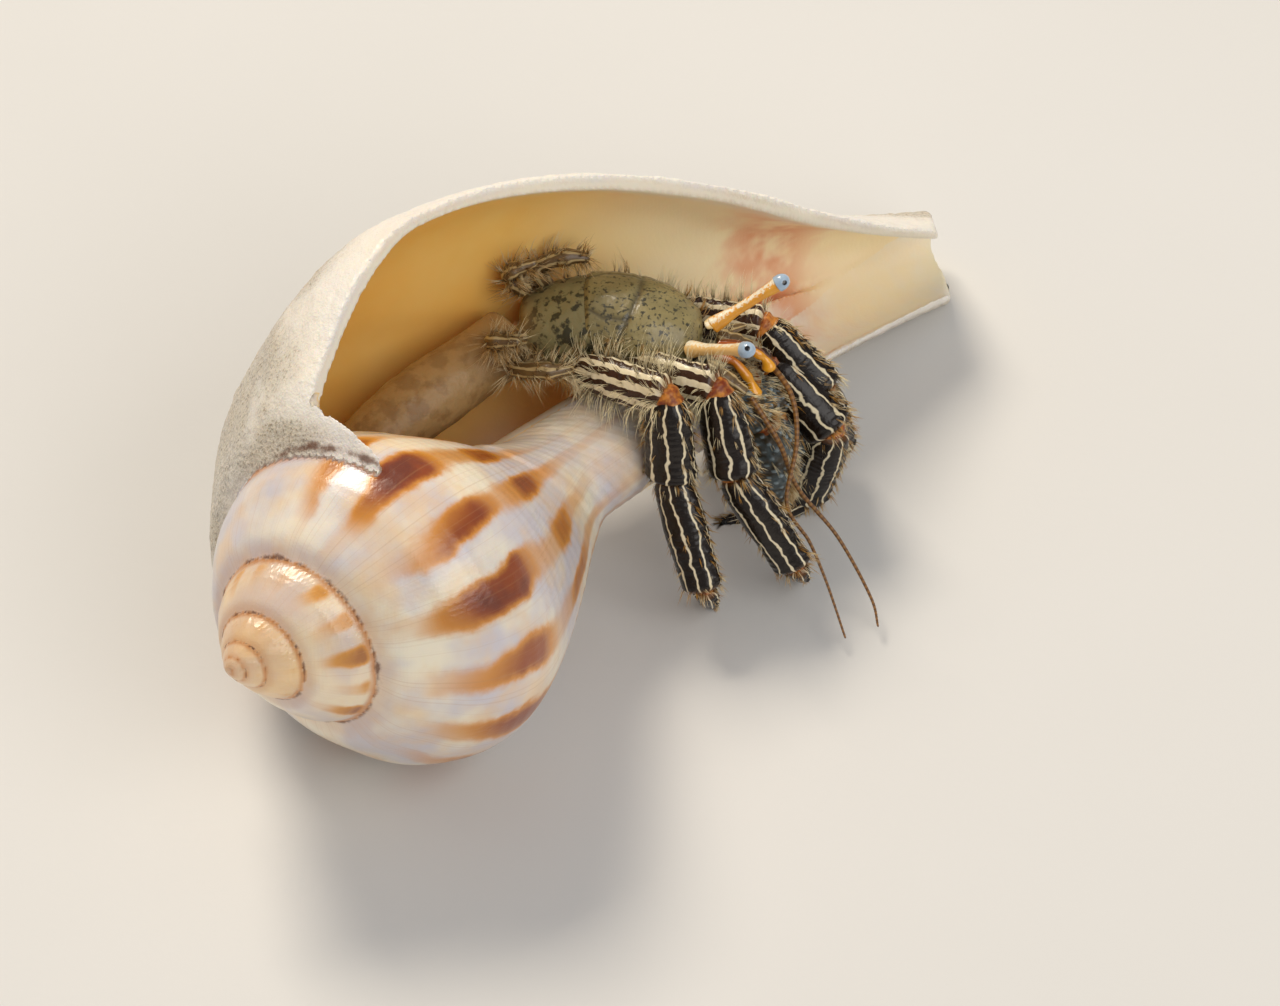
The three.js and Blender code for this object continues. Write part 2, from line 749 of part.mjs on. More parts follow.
/** A limb piece: a rounded bar from one joint to the next, mitred against its neighbours. */
function limbPiece(joints, index, { size: [wide, thick], swell, bow = 0 }, grow) {
  const dir = stretch(joints, index);
  const first = index === 0;
  const last = index === joints.length - 2;
  const reach = wide * MITRE_REACH;
  const start = joints[index].clone().addScaledVector(dir, first ? 0 : -reach);
  const end = joints[index + 1].clone().addScaledVector(dir, last ? 0 : reach);
  const middle = start.clone().lerp(end, 0.5).addScaledVector(dir.clone().cross(hinge(joints)), bow);
  const curve = new THREE.QuadraticBezierCurve3(start, middle, end);
  const size = (s) => [thick * along(swell, s) + grow, wide * along(swell, s) + grow];
  let bar = tube(curve, size, { sides: 8, steps: 4, across: hinge(joints) });
  if (!first) bar = keepSide(bar, joints[index], stretch(joints, index - 1).add(dir), GAP / 2);
  if (!last) {
    const mitre = stretch(joints, index + 1).add(dir).negate();
    bar = keepSide(bar, joints[index + 1], mitre, GAP / 2);
  }
  return bar;
}

/** The hand of a claw: the movable finger is cut from the outer half of the end of the palm. */
function splitHand(joints, hand) {
  const dir = stretch(joints, 2);
  const outer = dir.clone().cross(hinge(joints));
  const root = joints[2].clone().lerp(joints[3], PALM_SHARE);
  const finger = keepSide(keepSide(hand, root, dir, GAP / 2), root, outer, GAP / 2);
  const room = keepSide(keepSide(hand, root, dir, -GAP / 2), root, outer, -GAP / 2);
  return { palm: hand.subtract(room), finger };
}

/** All the pieces of the six long limbs. */
function limbPieces() {
  return Object.entries(LIMBS).flatMap(([name, limb]) => {
    const { lengths, pieces, material } = LIMB_KINDS[limb.kind];
    const joints = limbJoints(limb, lengths);
    return pieces.flatMap((shape, i) => {
      const body = limbPiece(joints, i, shape, 0);
      const fat = limbPiece(joints, i, shape, GAP);
      if (shape !== HAND) return [{ name: `${name}_${shape.piece}`, material, body, fat }];
      const { palm, finger } = splitHand(joints, body);
      return [
        { name: `${name}_palm`, material, body: palm },
        { name: `${name}_finger`, material, body: finger, fat },
      ];
    });
  });
}

const group = new THREE.Group();
group.add(
  makeShell(),
  ...keepApart([
    ...trunkPieces(),
    ...abdomenPieces(),
    ...eyePieces(),
    ...rodPieces(FEELERS),
    ...limbPieces(),
    ...rodPieces(SMALL_LIMBS),
  ]),
);

export default group;
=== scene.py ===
# %% [markdown]
# # A hermit crab in a whelk shell
# A thinstripe hermit crab leans out of the worn, right-handed whelk shell that it carries. This
# lesson builds its looks around a fixed frame: the frame has every piece at its real size and
# place, and each cell here makes the fine surface of one of them, with its finish.
#
# Sizes are in millimetres, as a person would measure them, and a mesh is scaled to metres last.

# %% Load the frame
import json
import math
from functools import partial

import bmesh
import bpy
import numpy as np
from mathutils import Matrix, Vector

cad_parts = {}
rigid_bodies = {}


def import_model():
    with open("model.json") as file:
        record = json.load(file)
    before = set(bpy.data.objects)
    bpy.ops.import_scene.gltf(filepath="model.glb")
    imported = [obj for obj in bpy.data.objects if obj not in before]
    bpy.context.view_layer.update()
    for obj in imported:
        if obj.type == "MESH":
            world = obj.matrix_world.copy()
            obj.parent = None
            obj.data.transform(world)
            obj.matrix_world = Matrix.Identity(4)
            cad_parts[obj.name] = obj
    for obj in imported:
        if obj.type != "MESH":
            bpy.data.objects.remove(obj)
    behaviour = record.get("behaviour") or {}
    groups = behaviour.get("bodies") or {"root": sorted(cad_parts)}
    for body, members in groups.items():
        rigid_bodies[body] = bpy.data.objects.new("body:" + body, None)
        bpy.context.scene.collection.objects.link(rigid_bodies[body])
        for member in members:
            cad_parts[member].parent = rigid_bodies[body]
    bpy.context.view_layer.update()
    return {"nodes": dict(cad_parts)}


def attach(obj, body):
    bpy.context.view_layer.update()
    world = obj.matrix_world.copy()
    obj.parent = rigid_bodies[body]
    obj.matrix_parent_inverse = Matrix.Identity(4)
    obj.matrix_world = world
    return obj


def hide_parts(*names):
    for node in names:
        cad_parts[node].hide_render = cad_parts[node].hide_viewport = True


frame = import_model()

MM = 0.001

# %% [markdown]
# ## Small tools
# Shapes here grow along curves, so a few tools do most of the work: a smooth step, a value read
# from a short table, a direction from two angles, and a smooth curve through a few points.
# Blender's own curves could carry the shapes, but points in an array are easier to measure.

# %% Steps, tables and directions
def smoothstep(x, low, high):
    """0 up to low and 1 from high, with an even S between them. It falls where high is lower."""
    t = np.clip((x - low) / (high - low), 0, 1)
    return t * t * (3 - 2 * t)


def along(rows, x):
    """The value at x of the straight lines through rows of (x, value)."""
    table = np.asarray(rows, float)
    return np.interp(x, table[:, 0], table[:, 1])


def unit(v):
    return v / np.linalg.norm(v, axis=-1, keepdims=True)


def heading(turn, rise):
    """A unit vector from a turn (from +X towards +Y) and a rise above the level, in degrees."""
    t, r = math.radians(turn), math.radians(rise)
    return np.array((math.cos(r) * math.cos(t), math.cos(r) * math.sin(t), math.sin(r)))


def smooth_curve(points, steps):
    """Points on a smooth curve through the given ones (Catmull-Rom)."""
    p = np.asarray(points, float)
    p = np.concatenate([[2 * p[0] - p[1]], p, [2 * p[-1] - p[-2]]])
    at = np.linspace(0, len(p) - 3, steps + 1)
    i = np.minimum(at.astype(int), len(p) - 4)
    w = (at - i)[:, None]
    a, b, c, d = (p[i + k] for k in range(4))
    return 0.5 * (
        2 * b + (c - a) * w + (2 * a - 5 * b + 4 * c - d) * w**2 + (3 * b - a - 3 * c + d) * w**3
    )


print("a quarter of the way up, a smooth step is at", smoothstep(0.25, 0.0, 1.0))

# %% [markdown]
# Nothing that grew is quite even, so most surfaces here get some soft noise. A displace modifier
# could bring it, but only to a finished mesh. This noise can be asked for at any point, and it is
# made from a repeatable hash, so the model is the same on every run.

# %% A repeatable noise
HASH_STEPS, HASH_GAIN = (12.9898, 78.233, 37.719, 4.581), 43758.5453  # any uneven numbers do


def hash01(*cells):
    """A repeatable number from 0 to 1 for each whole-number cell."""
    mixed = sum(np.asarray(cell, float) * step for cell, step in zip(cells, HASH_STEPS))
    return np.modf(np.abs(np.sin(mixed) * HASH_GAIN))[0]


def soft_noise(points, size, seed=0):
    """Smooth noise from -1 to 1 at points, with bumps about size apart."""
    p = np.asarray(points, float) / size
    cell = np.floor(p)
    f = p - cell
    f = f * f * (3 - 2 * f)
    total = np.zeros(p.shape[:-1])
    for corner in np.ndindex(2, 2, 2):
        weight = np.ones(p.shape[:-1])
        for axis, step in enumerate(corner):
            weight *= f[..., axis] if step else 1 - f[..., axis]
        total += weight * hash01(*(cell[..., axis] + corner[axis] for axis in range(3)), seed)
    return total * 2 - 1


print("noise at three points:", soft_noise([(0.2, 0, 0), (0.7, 0, 0), (1.2, 0, 0)], 1.0).round(3))

# %% [markdown]
# Meshes are made from grids of points. A loft closes a row of rings at both ends, and a block
# closes the space between two grids. Both give one closed skin, which booleans, printing and
# physics all need.

# %% Faces of grids and lofts
def grid_faces(index):
    """The quads between the rows and columns of a grid of point numbers."""
    a, b, c, d = index[:-1, :-1], index[:-1, 1:], index[1:, 1:], index[1:, :-1]
    return np.stack([a, b, c, d], -1).reshape(-1, 4)


def loft_faces(count, sides):
    """The faces of a loft whose two end points come after its rings."""
    index = np.arange(count * sides).reshape(count, sides)
    around = np.concatenate([index, index[:, :1]], 1)
    first, last = count * sides, count * sides + 1
    caps = [(first, a, b) for a, b in zip(around[0, :-1], around[0, 1:])]
    caps += [(last, b, a) for a, b in zip(around[-1, :-1], around[-1, 1:])]
    return [tuple(f) for f in grid_faces(around)] + caps


def with_ends(values):
    """Values on rings, followed by the mean of the first ring and of the last."""
    flat = values.reshape(-1, *values.shape[2:])
    return np.concatenate([flat, [values[0].mean(0)], [values[-1].mean(0)]])


print("a loft of 3 rings of 8 points has", len(loft_faces(3, 8)), "faces")

# %% [markdown]
# Python hands Blender a list of points and of faces. The bmesh module then turns every normal
# outwards, which is easier than getting each grid the right way round by hand.

# %% Objects from points and faces
def add_to_scene(name, data):
    made = bpy.data.objects.new(name, data)
    bpy.context.scene.collection.objects.link(made)
    return made


def new_object(name, points, faces):
    """A smooth-shaded object from points in millimetres. The normals are turned outwards."""
    mesh = bpy.data.meshes.new(name)
    mesh.from_pydata(np.asarray(points).tolist(), [], [list(map(int, f)) for f in faces])
    work = bmesh.new()
    work.from_mesh(mesh)
    bmesh.ops.recalc_face_normals(work, faces=work.faces)
    work.to_mesh(mesh)
    work.free()
    mesh.shade_smooth()
    return add_to_scene(name, mesh)


def block(name, outer, inner):
    """A closed block between two grids of points of the same size."""
    rows, columns = outer.shape[:2]
    index = np.arange(rows * columns).reshape(rows, columns)
    rim = np.concatenate([index[0], index[1:, -1], index[-1, -2::-1], index[-2:0:-1, 0]])
    after = np.roll(rim, -1)
    far = index.size
    sides = np.stack([rim, after, after + far, rim + far], -1)
    faces = np.concatenate([grid_faces(index), grid_faces(index + far), sides])
    return new_object(name, np.concatenate([outer.reshape(-1, 3), inner.reshape(-1, 3)]), faces)


def loft(name, rings):
    """A closed body through a row of rings. Each end is drawn in to its middle point."""
    return new_object(name, with_ends(rings), loft_faces(*rings.shape[:2]))


print("new objects go into:", bpy.context.scene.collection.name)

# %% [markdown]
# Modifiers are set up as by hand in Blender, and then made part of the mesh. The pair that is used
# most is a voxel remesh, which gives one even skin, and some rounds of smoothing, which take
# off the stair marks that voxels leave.

# %% Modifiers
def settle(obj):
    """Makes an object's modifiers part of its mesh."""
    bpy.context.view_layer.update()
    graph = bpy.context.evaluated_depsgraph_get()
    done = bpy.data.meshes.new_from_object(obj.evaluated_get(graph))
    old = obj.data
    obj.modifiers.clear()
    obj.data = done
    bpy.data.meshes.remove(old)


def join_or_cut(body, others, operation):
    """One boolean for each of the others, which are used up."""
    for other in others:
        cut = body.modifiers.new("boolean", "BOOLEAN")
        cut.operation, cut.object, cut.solver = operation, other, "MANIFOLD"
    settle(body)
    for other in others:
        mesh = other.data
        bpy.data.objects.remove(other)
        bpy.data.meshes.remove(mesh)


def even_skin(obj, face_mm, rounds):
    """Gives a body one even skin, with faces of about this size, smoothed this many times."""
    remesh = obj.modifiers.new("even skin", "REMESH")
    remesh.mode, remesh.voxel_size = "VOXEL", face_mm
    relax = obj.modifiers.new("relax", "SMOOTH")
    relax.factor, relax.iterations = 0.5, rounds
    settle(obj)


# %% [markdown]
# The points of a mesh can be read as an array, moved, and written back in one go. A number can
# also be noted on each point, as a named attribute, for a finish to read later.

# %% Points and notes
def points_of(obj):
    """The points of an object's mesh, as an array."""
    flat = np.empty(len(obj.data.vertices) * 3)
    obj.data.vertices.foreach_get("co", flat)
    return flat.reshape(-1, 3)


def normals_of(obj):
    flat = np.empty(len(obj.data.vertices) * 3)
    obj.data.vertex_normals.foreach_get("vector", flat)
    return flat.reshape(-1, 3)


def move_points(obj, points):
    obj.data.vertices.foreach_set("co", np.asarray(points, np.float32).ravel())
    obj.data.update()


def keep_above(points, floor_mm):
    """Lifts points that lie under a level up to it."""
    points[..., 2] = np.maximum(points[..., 2], floor_mm)
    return points


def note(obj, **values):
    """Writes a number to each point of a mesh, for the finish to read."""
    for name, value in values.items():
        layer = obj.data.attributes.new(name, "FLOAT", "POINT")
        layer.data.foreach_set("value", np.asarray(value, np.float32).ravel())


print("a point under the floor is lifted to", keep_above(np.array([[0.0, 0.0, -1.0]]), 0.0))

# %% [markdown]
# ## The shell's spiral
# A snail's shell grows by adding to its lip, and keeps its shape as it grows. So one outline, and
# one ratio by which each whole turn is larger than the last, describe every whorl. A growth
# angle of 0 is the lip, and -360 is the place one turn earlier.
#
# The last part of the growth isn't quite like the rest: the whorl flares to a wider outline at
# the lip, and the lip itself sweeps forward to the canal.

# %% The shell's axis and outlines
SHELL_LENGTH = 98.0
WHORL_RATIO = 1.925
APEX = np.array((-32, -37.4, 25.55))
SHELL_AXIS = heading(49.8, -11.8)
SUTURE_TURN = 61.4  # degrees round the axis of the growth angle 0
spin = np.array((-0.552, 0.62, 0.558))
SPIN_START = unit(spin - SHELL_AXIS * (spin @ SHELL_AXIS))
SPIN_NEXT = -np.cross(SPIN_START, SHELL_AXIS)

OUTLINE_STEPS = 90
OUTLINE_START, OUTLINE_END = 0.1719, 1.05
# Distance from the apex and radius, as shares of the length: a grown whorl, then the lip.
WHORL_OUTLINE = smooth_curve(
    [(0.1719, 0.15), (0.19, 0.196), (0.2362, 0.238), (0.2822, 0.272), (0.3493, 0.293),
     (0.4136, 0.29), (0.5, 0.255), (0.6, 0.198), (0.68, 0.145), (0.76, 0.103), (0.85, 0.075),
     (1.05, 0.046)], OUTLINE_STEPS)
LIP_OUTLINE = smooth_curve(
    [(0.1719, 0.16), (0.1949, 0.2068), (0.2362, 0.246), (0.2822, 0.282), (0.3493, 0.308),
     (0.4136, 0.3079), (0.5092, 0.2895), (0.6204, 0.2482), (0.7252, 0.193), (0.8235, 0.1296),
     (0.9108, 0.0901), (1.05, 0.0533)], OUTLINE_STEPS)
print("widest part of the lip:", round(LIP_OUTLINE[:, 1].max() * SHELL_LENGTH, 1), "mm from the axis")

# %% [markdown]
# Small laws bend the plain spiral to this shell. The canal curves away from the axis. The whorl
# narrows a little before the lip and flares at it. The lip stands back at the seam, where it
# leaves a tooth, and sweeps forward towards the canal.

# %% The laws of growth
CANAL_BEND, BEND_START, BEND_SPAN = 3.6, 0.55, 0.42
WAIST_TURN, LIP_WAIST = (-180, -85), 0.065
LIP_FLARE = (-75, -30)
ROOT_SHARE = 0.1675  # a whorl's skin starts a little under the skin of the one before
ROOT_SLOPE = 2.5
LIP_TOOTH, LIP_BACK = (0.172, 0.192), -31
SWEEP_START, SWEEP_SPAN, SWEEP_POWER, LIP_SWEEP = 0.35, 0.6, 2.6, 67


def growth(turn):
    return WHORL_RATIO ** (np.asarray(turn, float) / 360)


def canal_bend(distance):
    """How far the shell curves away from its axis, at a distance from the apex."""
    return CANAL_BEND * (np.maximum(0, distance / SHELL_LENGTH - BEND_START) / BEND_SPAN) ** 2


def shell_point(radius, distance, turn):
    """A point from its radius and distance along the axis, and degrees round the axis."""
    around = np.radians(turn)
    return (
        APEX
        + np.asarray(distance)[..., None] * SHELL_AXIS
        + (radius * np.cos(around) - canal_bend(distance))[..., None] * SPIN_START
        + (radius * np.sin(around))[..., None] * SPIN_NEXT
    )


def outline_radius(share, turn):
    """The radius of the whorl's outline at a share of the length, at a growth angle."""
    waist = 1 - LIP_WAIST * smoothstep(turn, *WAIST_TURN)
    flare = smoothstep(turn, *LIP_FLARE)
    plain = along(WHORL_OUTLINE, share) * waist * (1 - flare) + along(LIP_OUTLINE, share) * flare
    return plain - ROOT_SLOPE * np.maximum(0, OUTLINE_START - share)


def lip_turn(share):
    """The growth angle of the outer lip at a share of the length."""
    sweep = LIP_SWEEP * (np.maximum(0, share - SWEEP_START) / SWEEP_SPAN) ** SWEEP_POWER
    return LIP_BACK * smoothstep(share, *LIP_TOOTH) + sweep


print("lip, from the seam to the canal:", lip_turn(np.array((0.17, 0.3, 0.6, 0.95))).round(1), "degrees")

# %% [markdown]
# The outside could be one long spiral sheet, but a sheet has no thickness and its seams are open.
# Instead it is cut from solids, as the real one could be: half-turn wedges are joined into a
# full body, then the room inside the last whorl and the canal's gutter are cut out of it.

# %% Wedges of the full body
STEP = 2.5  # degrees between sections
ROWS = 110  # from the shoulder to the canal
ROW_CROWDING = 1.25  # above 1, rows lie closer at the shoulder
HALF_TURN = 180
AXIS_ROD = 0.008  # a wedge stops this short of the axis, as a share of the length


def whorl_wedge(start, end):
    """A half turn of the full body. end gives the growth angle where each row stops."""
    steps = int(HALF_TURN / STEP) + 1
    share = ROOT_SHARE + (OUTLINE_END - ROOT_SHARE) * np.linspace(0, 1, ROWS + 1) ** ROW_CROWDING
    share = share[:, None] + np.zeros(steps + 1)
    turn = start + (end(share) - start) * np.linspace(0, 1, steps + 1)
    size = growth(turn) * SHELL_LENGTH
    outer = shell_point(outline_radius(share, turn) * size, share * size, turn + SUTURE_TURN)
    inner = shell_point(AXIS_ROD * size, share * size, turn + SUTURE_TURN)
    return block("wedge", outer, inner)


FIRST_TURN = -1980
wedges = []
for start in range(FIRST_TURN, 0, HALF_TURN):
    stop = lip_turn
    if start + HALF_TURN < 0:
        stop = lambda share, end=start + HALF_TURN: end + 0 * share
    wedges.append(whorl_wedge(start - STEP, stop))
print("wedges:", len(wedges))

# %% [markdown]
# The room is as deep as a crab needs, not as the whole spiral: its inner side is the wall of the
# older whorl, then the pillar (the columella) that the whorls wind round. It runs out past the
# lip, so that the cut leaves the aperture open.

# %% The room in the last whorl
WALL = 1.6
WALL_SLOPE = 0.75  # share of the wall, measured along the axis and across it, where it slopes
ROOM_TURNS, HOLLOW_SHARES = (-330, 100), (0.205, 1.07)
CANAL_OUTSIDE = [(0.4, 8.0), (0.47, 7.1), (0.65, 6.7), (0.82, 5.1), (1.0, 4.1)]
COLUMELLA = [(0.0, 1.4), (0.3, 4.2), (0.5, 4.0), (0.75, 2.6), (1.0, 1.6)]
PAST_CANAL, PILLAR_ENDS = 0.3, (15, 100)
OLDER_CLEAR, LEAST_ROOM = 0.35, 0.4


def inside_radius(share, turn):
    """The radius of the inside of the wall, which stays thick where the wall slopes."""
    slope = WALL_SLOPE * WALL / SHELL_LENGTH
    near = np.minimum(outline_radius(share - slope, turn), outline_radius(share + slope, turn))
    return near * growth(turn) * SHELL_LENGTH - WALL_SLOPE * WALL


def last_room():
    """The room inside the last whorl, which runs out past the lip."""
    turn = np.arange(ROOM_TURNS[0], ROOM_TURNS[1] + STEP, STEP)[None, :]
    share = np.linspace(*HOLLOW_SHARES, ROWS + 1)[:, None] + 0 * turn
    turn = turn + 0 * share
    size = growth(turn) * SHELL_LENGTH
    distance = share * size
    older = share * WHORL_RATIO
    under = np.where(older > OUTLINE_END, 0, outline_radius(older, turn - 360))
    pillar = along(COLUMELLA, distance / SHELL_LENGTH)
    outside = along(CANAL_OUTSIDE, distance / SHELL_LENGTH) + PAST_CANAL
    floor = pillar + (outside - pillar) * smoothstep(turn, *PILLAR_ENDS)
    inner = np.maximum(under * size / WHORL_RATIO + OLDER_CLEAR, floor)
    outer = np.maximum(inside_radius(share, turn), inner + LEAST_ROOM)
    around = turn + SUTURE_TURN
    return block("room", shell_point(outer, distance, around), shell_point(inner, distance, around))


room = last_room()
print("room:", len(room.data.polygons), "faces")

# %% [markdown]
# The canal is a solid core along the axis with a gutter cut into it. The gutter is a second, thinner
# core, moved off the axis to the side where the canal opens: far out at first, and sunk in
# towards the end. A big plank then trims the canal's end, where the real one is broken off.

# %% The canal, its gutter and its end
GUTTER_OPENS, GUTTER_LIFT, GUTTER_CLEAR = 100, 0.42, 2.0
GUTTER_SINKS, GUTTER_EDGE = (0.4, 0.95), 0.9
CORE_SHARES, GUTTER_SHARES = (0.36, 1.02), (0.42, 1.05)
CORE_RINGS, CORE_SIDES, PLANK_SIZE = 80, 64, 200.0
CANAL_END_OUT, CANAL_END_DISTANCE = unit(np.array((0.967, 0.187, 0.168))), 38.69


def axis_rings(radius_of, lift_of, shares):
    """Rings about the shell's axis. Each is moved off it towards the side where the gutter opens."""
    share = np.linspace(*shares, CORE_RINGS)[:, None]
    angle = np.linspace(0, 2 * math.pi, CORE_SIDES, endpoint=False)[None, :]
    opens = math.radians(GUTTER_OPENS)
    across = np.cos(angle) * radius_of(share) + lift_of(share) * math.cos(opens)
    beside = np.sin(angle) * radius_of(share) + lift_of(share) * math.sin(opens)
    turn = np.degrees(np.arctan2(beside, across))
    return shell_point(np.hypot(across, beside), share * SHELL_LENGTH + 0 * angle, turn)


def core_radius(share):
    return along(CANAL_OUTSIDE, share)


def gutter_lift(share):
    lift = GUTTER_CLEAR + (GUTTER_LIFT - GUTTER_CLEAR) * smoothstep(share, *GUTTER_SINKS)
    return core_radius(share) * lift


def plank(corner, out):
    """A big block whose one face lies at a corner and faces away from out. It trims a body flat."""
    side = unit(np.cross(out, (0.3, 0.2, 0.9)))
    up = np.cross(out, side)
    u, v = np.meshgrid((-PLANK_SIZE, PLANK_SIZE), (-PLANK_SIZE, PLANK_SIZE))
    near = corner + u[..., None] * side + v[..., None] * up
    return block("plank", near, near + PLANK_SIZE * out)


shell = loft("core", axis_rings(core_radius, lambda share: 0 * share, CORE_SHARES))
gutter_rings = axis_rings(lambda share: core_radius(share) - GUTTER_EDGE, gutter_lift, GUTTER_SHARES)
gutter = loft("gutter", gutter_rings)
canal_end = plank(CANAL_END_OUT * CANAL_END_DISTANCE, CANAL_END_OUT)
print("canal radius at its end:", core_radius(1.0), "mm")

# %% [markdown]
# One boolean joins the wedges to the core, and one cuts the room, the gutter and the end out of it.

# %% Build the shell
join_or_cut(shell, wedges, "UNION")
join_or_cut(shell, [room, gutter, canal_end], "DIFFERENCE")
print("shell solid:", len(shell.data.polygons), "faces")

# %% [markdown]
# Booleans leave long thin faces where the wedges meet. A voxel remesh gives the shell one even
# skin, about a third of a millimetre to a face, and a few rounds of smoothing take off the
# stair marks. Real wear has rounded every edge of this shell too, so nothing is lost by it.

# %% One even skin for the shell
SHELL_FACE, SHELL_ROUNDS = 0.34, 7
even_skin(shell, SHELL_FACE, SHELL_ROUNDS)
print("shell skin:", len(shell.data.vertices), "points")

# %% [markdown]
# ## Where each point of the shell is
# The finish of a shell follows its growth: streaks run across the whorl, bands run round it, and
# both shrink towards the apex. So each point of the skin is asked which whorl it belongs to, how
# far along the growth it is, and where it lies between the shoulder and the canal. Where
# whorls overlap, the one with the widest outline is the one that shows.

# %% Read the growth back from the points
NO_WHORL = {"turn": -2000.0, "outline": -1.0, "share": 0.5}  # of a point that is on none
WHORLS = range(-6, 2)


def shell_place(points):
    """The growth angle, share, outline radius and own radius of the whorl that a point is on."""
    from_apex = points - APEX
    distance = from_apex @ SHELL_AXIS
    across = from_apex @ SPIN_START + canal_bend(distance)
    beside = from_apex @ SPIN_NEXT
    around = np.degrees(np.arctan2(beside, across)) - SUTURE_TURN
    found = {name: np.full(len(points), value) for name, value in NO_WHORL.items()}
    for whorl in WHORLS:
        turn = around + 360 * whorl
        share = distance / (growth(turn) * SHELL_LENGTH)
        outline = outline_radius(share, turn) * growth(turn) * SHELL_LENGTH
        real = (turn <= lip_turn(share)) & (share > ROOT_SHARE) & (share < OUTLINE_END)
        wins = real & (outline > found["outline"])
        for name, value in (("turn", turn), ("share", share), ("outline", outline)):
            found[name] = np.where(wins, value, found[name])
    to_gutter = np.cos(np.radians(around + SUTURE_TURN - GUTTER_OPENS))
    return {**found, "radius": np.hypot(across, beside), "distance": distance, "to_gutter": to_gutter}


skin = points_of(shell)
place = shell_place(skin)
on_canal = place["outline"] == NO_WHORL["outline"]
print("points on no whorl:", int(on_canal.sum()), "of", len(skin))

# %% [markdown]
# Seams carry a stain and a thin dark line, so each point is asked how far it is from one. That is
# measured over the seam on the newer whorl, or under it on the older one, whose skin the newer
# whorl covers.

# %% Measure to the seam
SEAM_OVERLAP = -0.002  # an older whorl shows a hair past the seam, as a share of the length

share = place["share"]
newer = (share - OUTLINE_START) * growth(place["turn"])
older = (OUTLINE_START - share / WHORL_RATIO) * growth(place["turn"] + 360)
covered = (older > SEAM_OVERLAP) & (place["turn"] < -360)
under_seam = covered & (np.abs(older) < newer)
seam_mm = np.abs(np.where(under_seam, older, newer)) * SHELL_LENGTH
print("points just under a seam:", int((under_seam & (seam_mm < 1)).sum()))

# %% [markdown]
# A point whose distance from the axis is clearly less than its whorl's outline is on the inside.
# A point on no whorl belongs to the edge of the lip or, nearer the axis, to the canal.

# %% Tell inside from outside
depth = place["outline"] - place["radius"]
canal_depth = along(CANAL_OUTSIDE, place["distance"] / SHELL_LENGTH) - place["radius"]
canal_inside = smoothstep(canal_depth, 0.3, 0.8) + smoothstep(canal_depth, -0.6, -1.0)
inside = np.where(on_canal, canal_inside, smoothstep(depth, 0.4, 1.1))
outside = 1 - inside
print("inside points:", int((inside > 0.5).sum()), "of", len(skin))

# %% [markdown]
# The rim of the aperture is white, so the finish also needs the distance to it. On a whorl that
# is measured back along the growth, and on the canal from the gutter's two edges.

# %% Measure to the lip
LIP_EDGE = -0.8  # the depth at which the edge of the lip ends and the canal starts
GUTTER_REACH = 14  # millimetres from the gutter's edge, past which nothing changes

turn = np.where(on_canal, 0.0, place["turn"])
size = growth(turn)
lip_mm = np.radians(np.clip(lip_turn(share) - turn, 0, 360)) * place["radius"]
from_edge = np.where(inside > 0.5, 1.3 * (0.45 - place["to_gutter"]), 6 * (0.6 - place["to_gutter"]))
gutter_mm = np.clip(from_edge * place["radius"], 0, GUTTER_REACH)
lip_mm = np.where(on_canal, np.where(canal_depth > LIP_EDGE, gutter_mm, 0.0), lip_mm)
print("points within 2 mm of the rim:", int((lip_mm < 2).sum()))

# %% [markdown]
# The outside isn't smooth. Fine growth lines run across each whorl, where the lip once stood, and
# low cords wind round it, with beads on the young whorls. The years in the sea have worn them
# until they are just felt. They are real height here, about a twentieth of a millimetre, and so
# are the rests of growth and the grit of the last whorl.

# %% Shape the shell's surface
CORD_PITCH = 0.0235  # share of the length from one cord to the next
LINES_A_RADIAN, BEADS_A_RADIAN = 150, 15  # of growth


def growth_noise(degrees, bands, seed):
    """Soft noise on the whorls: bumps so many degrees long, and about this many across."""
    return soft_noise(np.stack([turn / degrees, share * bands, 0 * turn], -1), 1.0, seed)


wave = growth_noise(9, 30, 3)
growth_lines = np.sin(np.radians(turn) * LINES_A_RADIAN + 5 * wave) * (0.2 + 0.8 * np.abs(wave))
growth_rests = growth_noise(2.6, 3, 9)
cords = np.cos(share * 2 * math.pi / CORD_PITCH)
cord_height = 0.05 * smoothstep(share, 0.23, 0.27) * (0.5 + 0.5 * smoothstep(share, 0.5, 0.62))
young = smoothstep(turn, -520, -800)
last_whorl = smoothstep(turn, -150, -95)
grit = soft_noise(skin, 0.9, seed=5) + 0.6 * soft_noise(skin, 0.45, seed=6)
bead_row = smoothstep(share, 0.2, 0.24) * smoothstep(share, 0.3, 0.26)
beads = np.cos(np.radians(turn) * BEADS_A_RADIAN) * bead_row
height = outside * (
    0.014 * growth_lines * size
    + 0.07 * growth_rests * last_whorl
    + cord_height * cords * (0.35 + 0.4 * young)
    + 0.2 * beads * young * size
    + 0.07 * soft_noise(skin, 6.0, seed=7)
    + 0.065 * grit * last_whorl
)
height += inside * 0.05 * soft_noise(skin, 4.0, seed=8)
skin = keep_above(skin + normals_of(shell) * height[:, None], 0.0)
move_points(shell, skin)
print("relief from", height.min().round(3), "to", height.max().round(3), "mm")

# %% [markdown]
# ## Materials
# Each finish is a small graph of nodes. One function adds a node with its settings and links, and
# one turns a written colour into the linear light that a shader works in. The finishes read two
# kinds of place: where a point is in space, for grain and spots that go right through, and the
# numbers noted on the mesh, for marks that follow the animal's growth.

# %% Colours and nodes
def linear(hex_colour):
    """An sRGB colour such as "#a0522d" as linear light."""
    parts = [int(hex_colour[i : i + 2], 16) / 255 for i in (1, 3, 5)]
    light = [p / 12.92 if p <= 0.04045 else ((p + 0.055) / 1.055) ** 2.4 for p in parts]
    return (*light, 1.0)


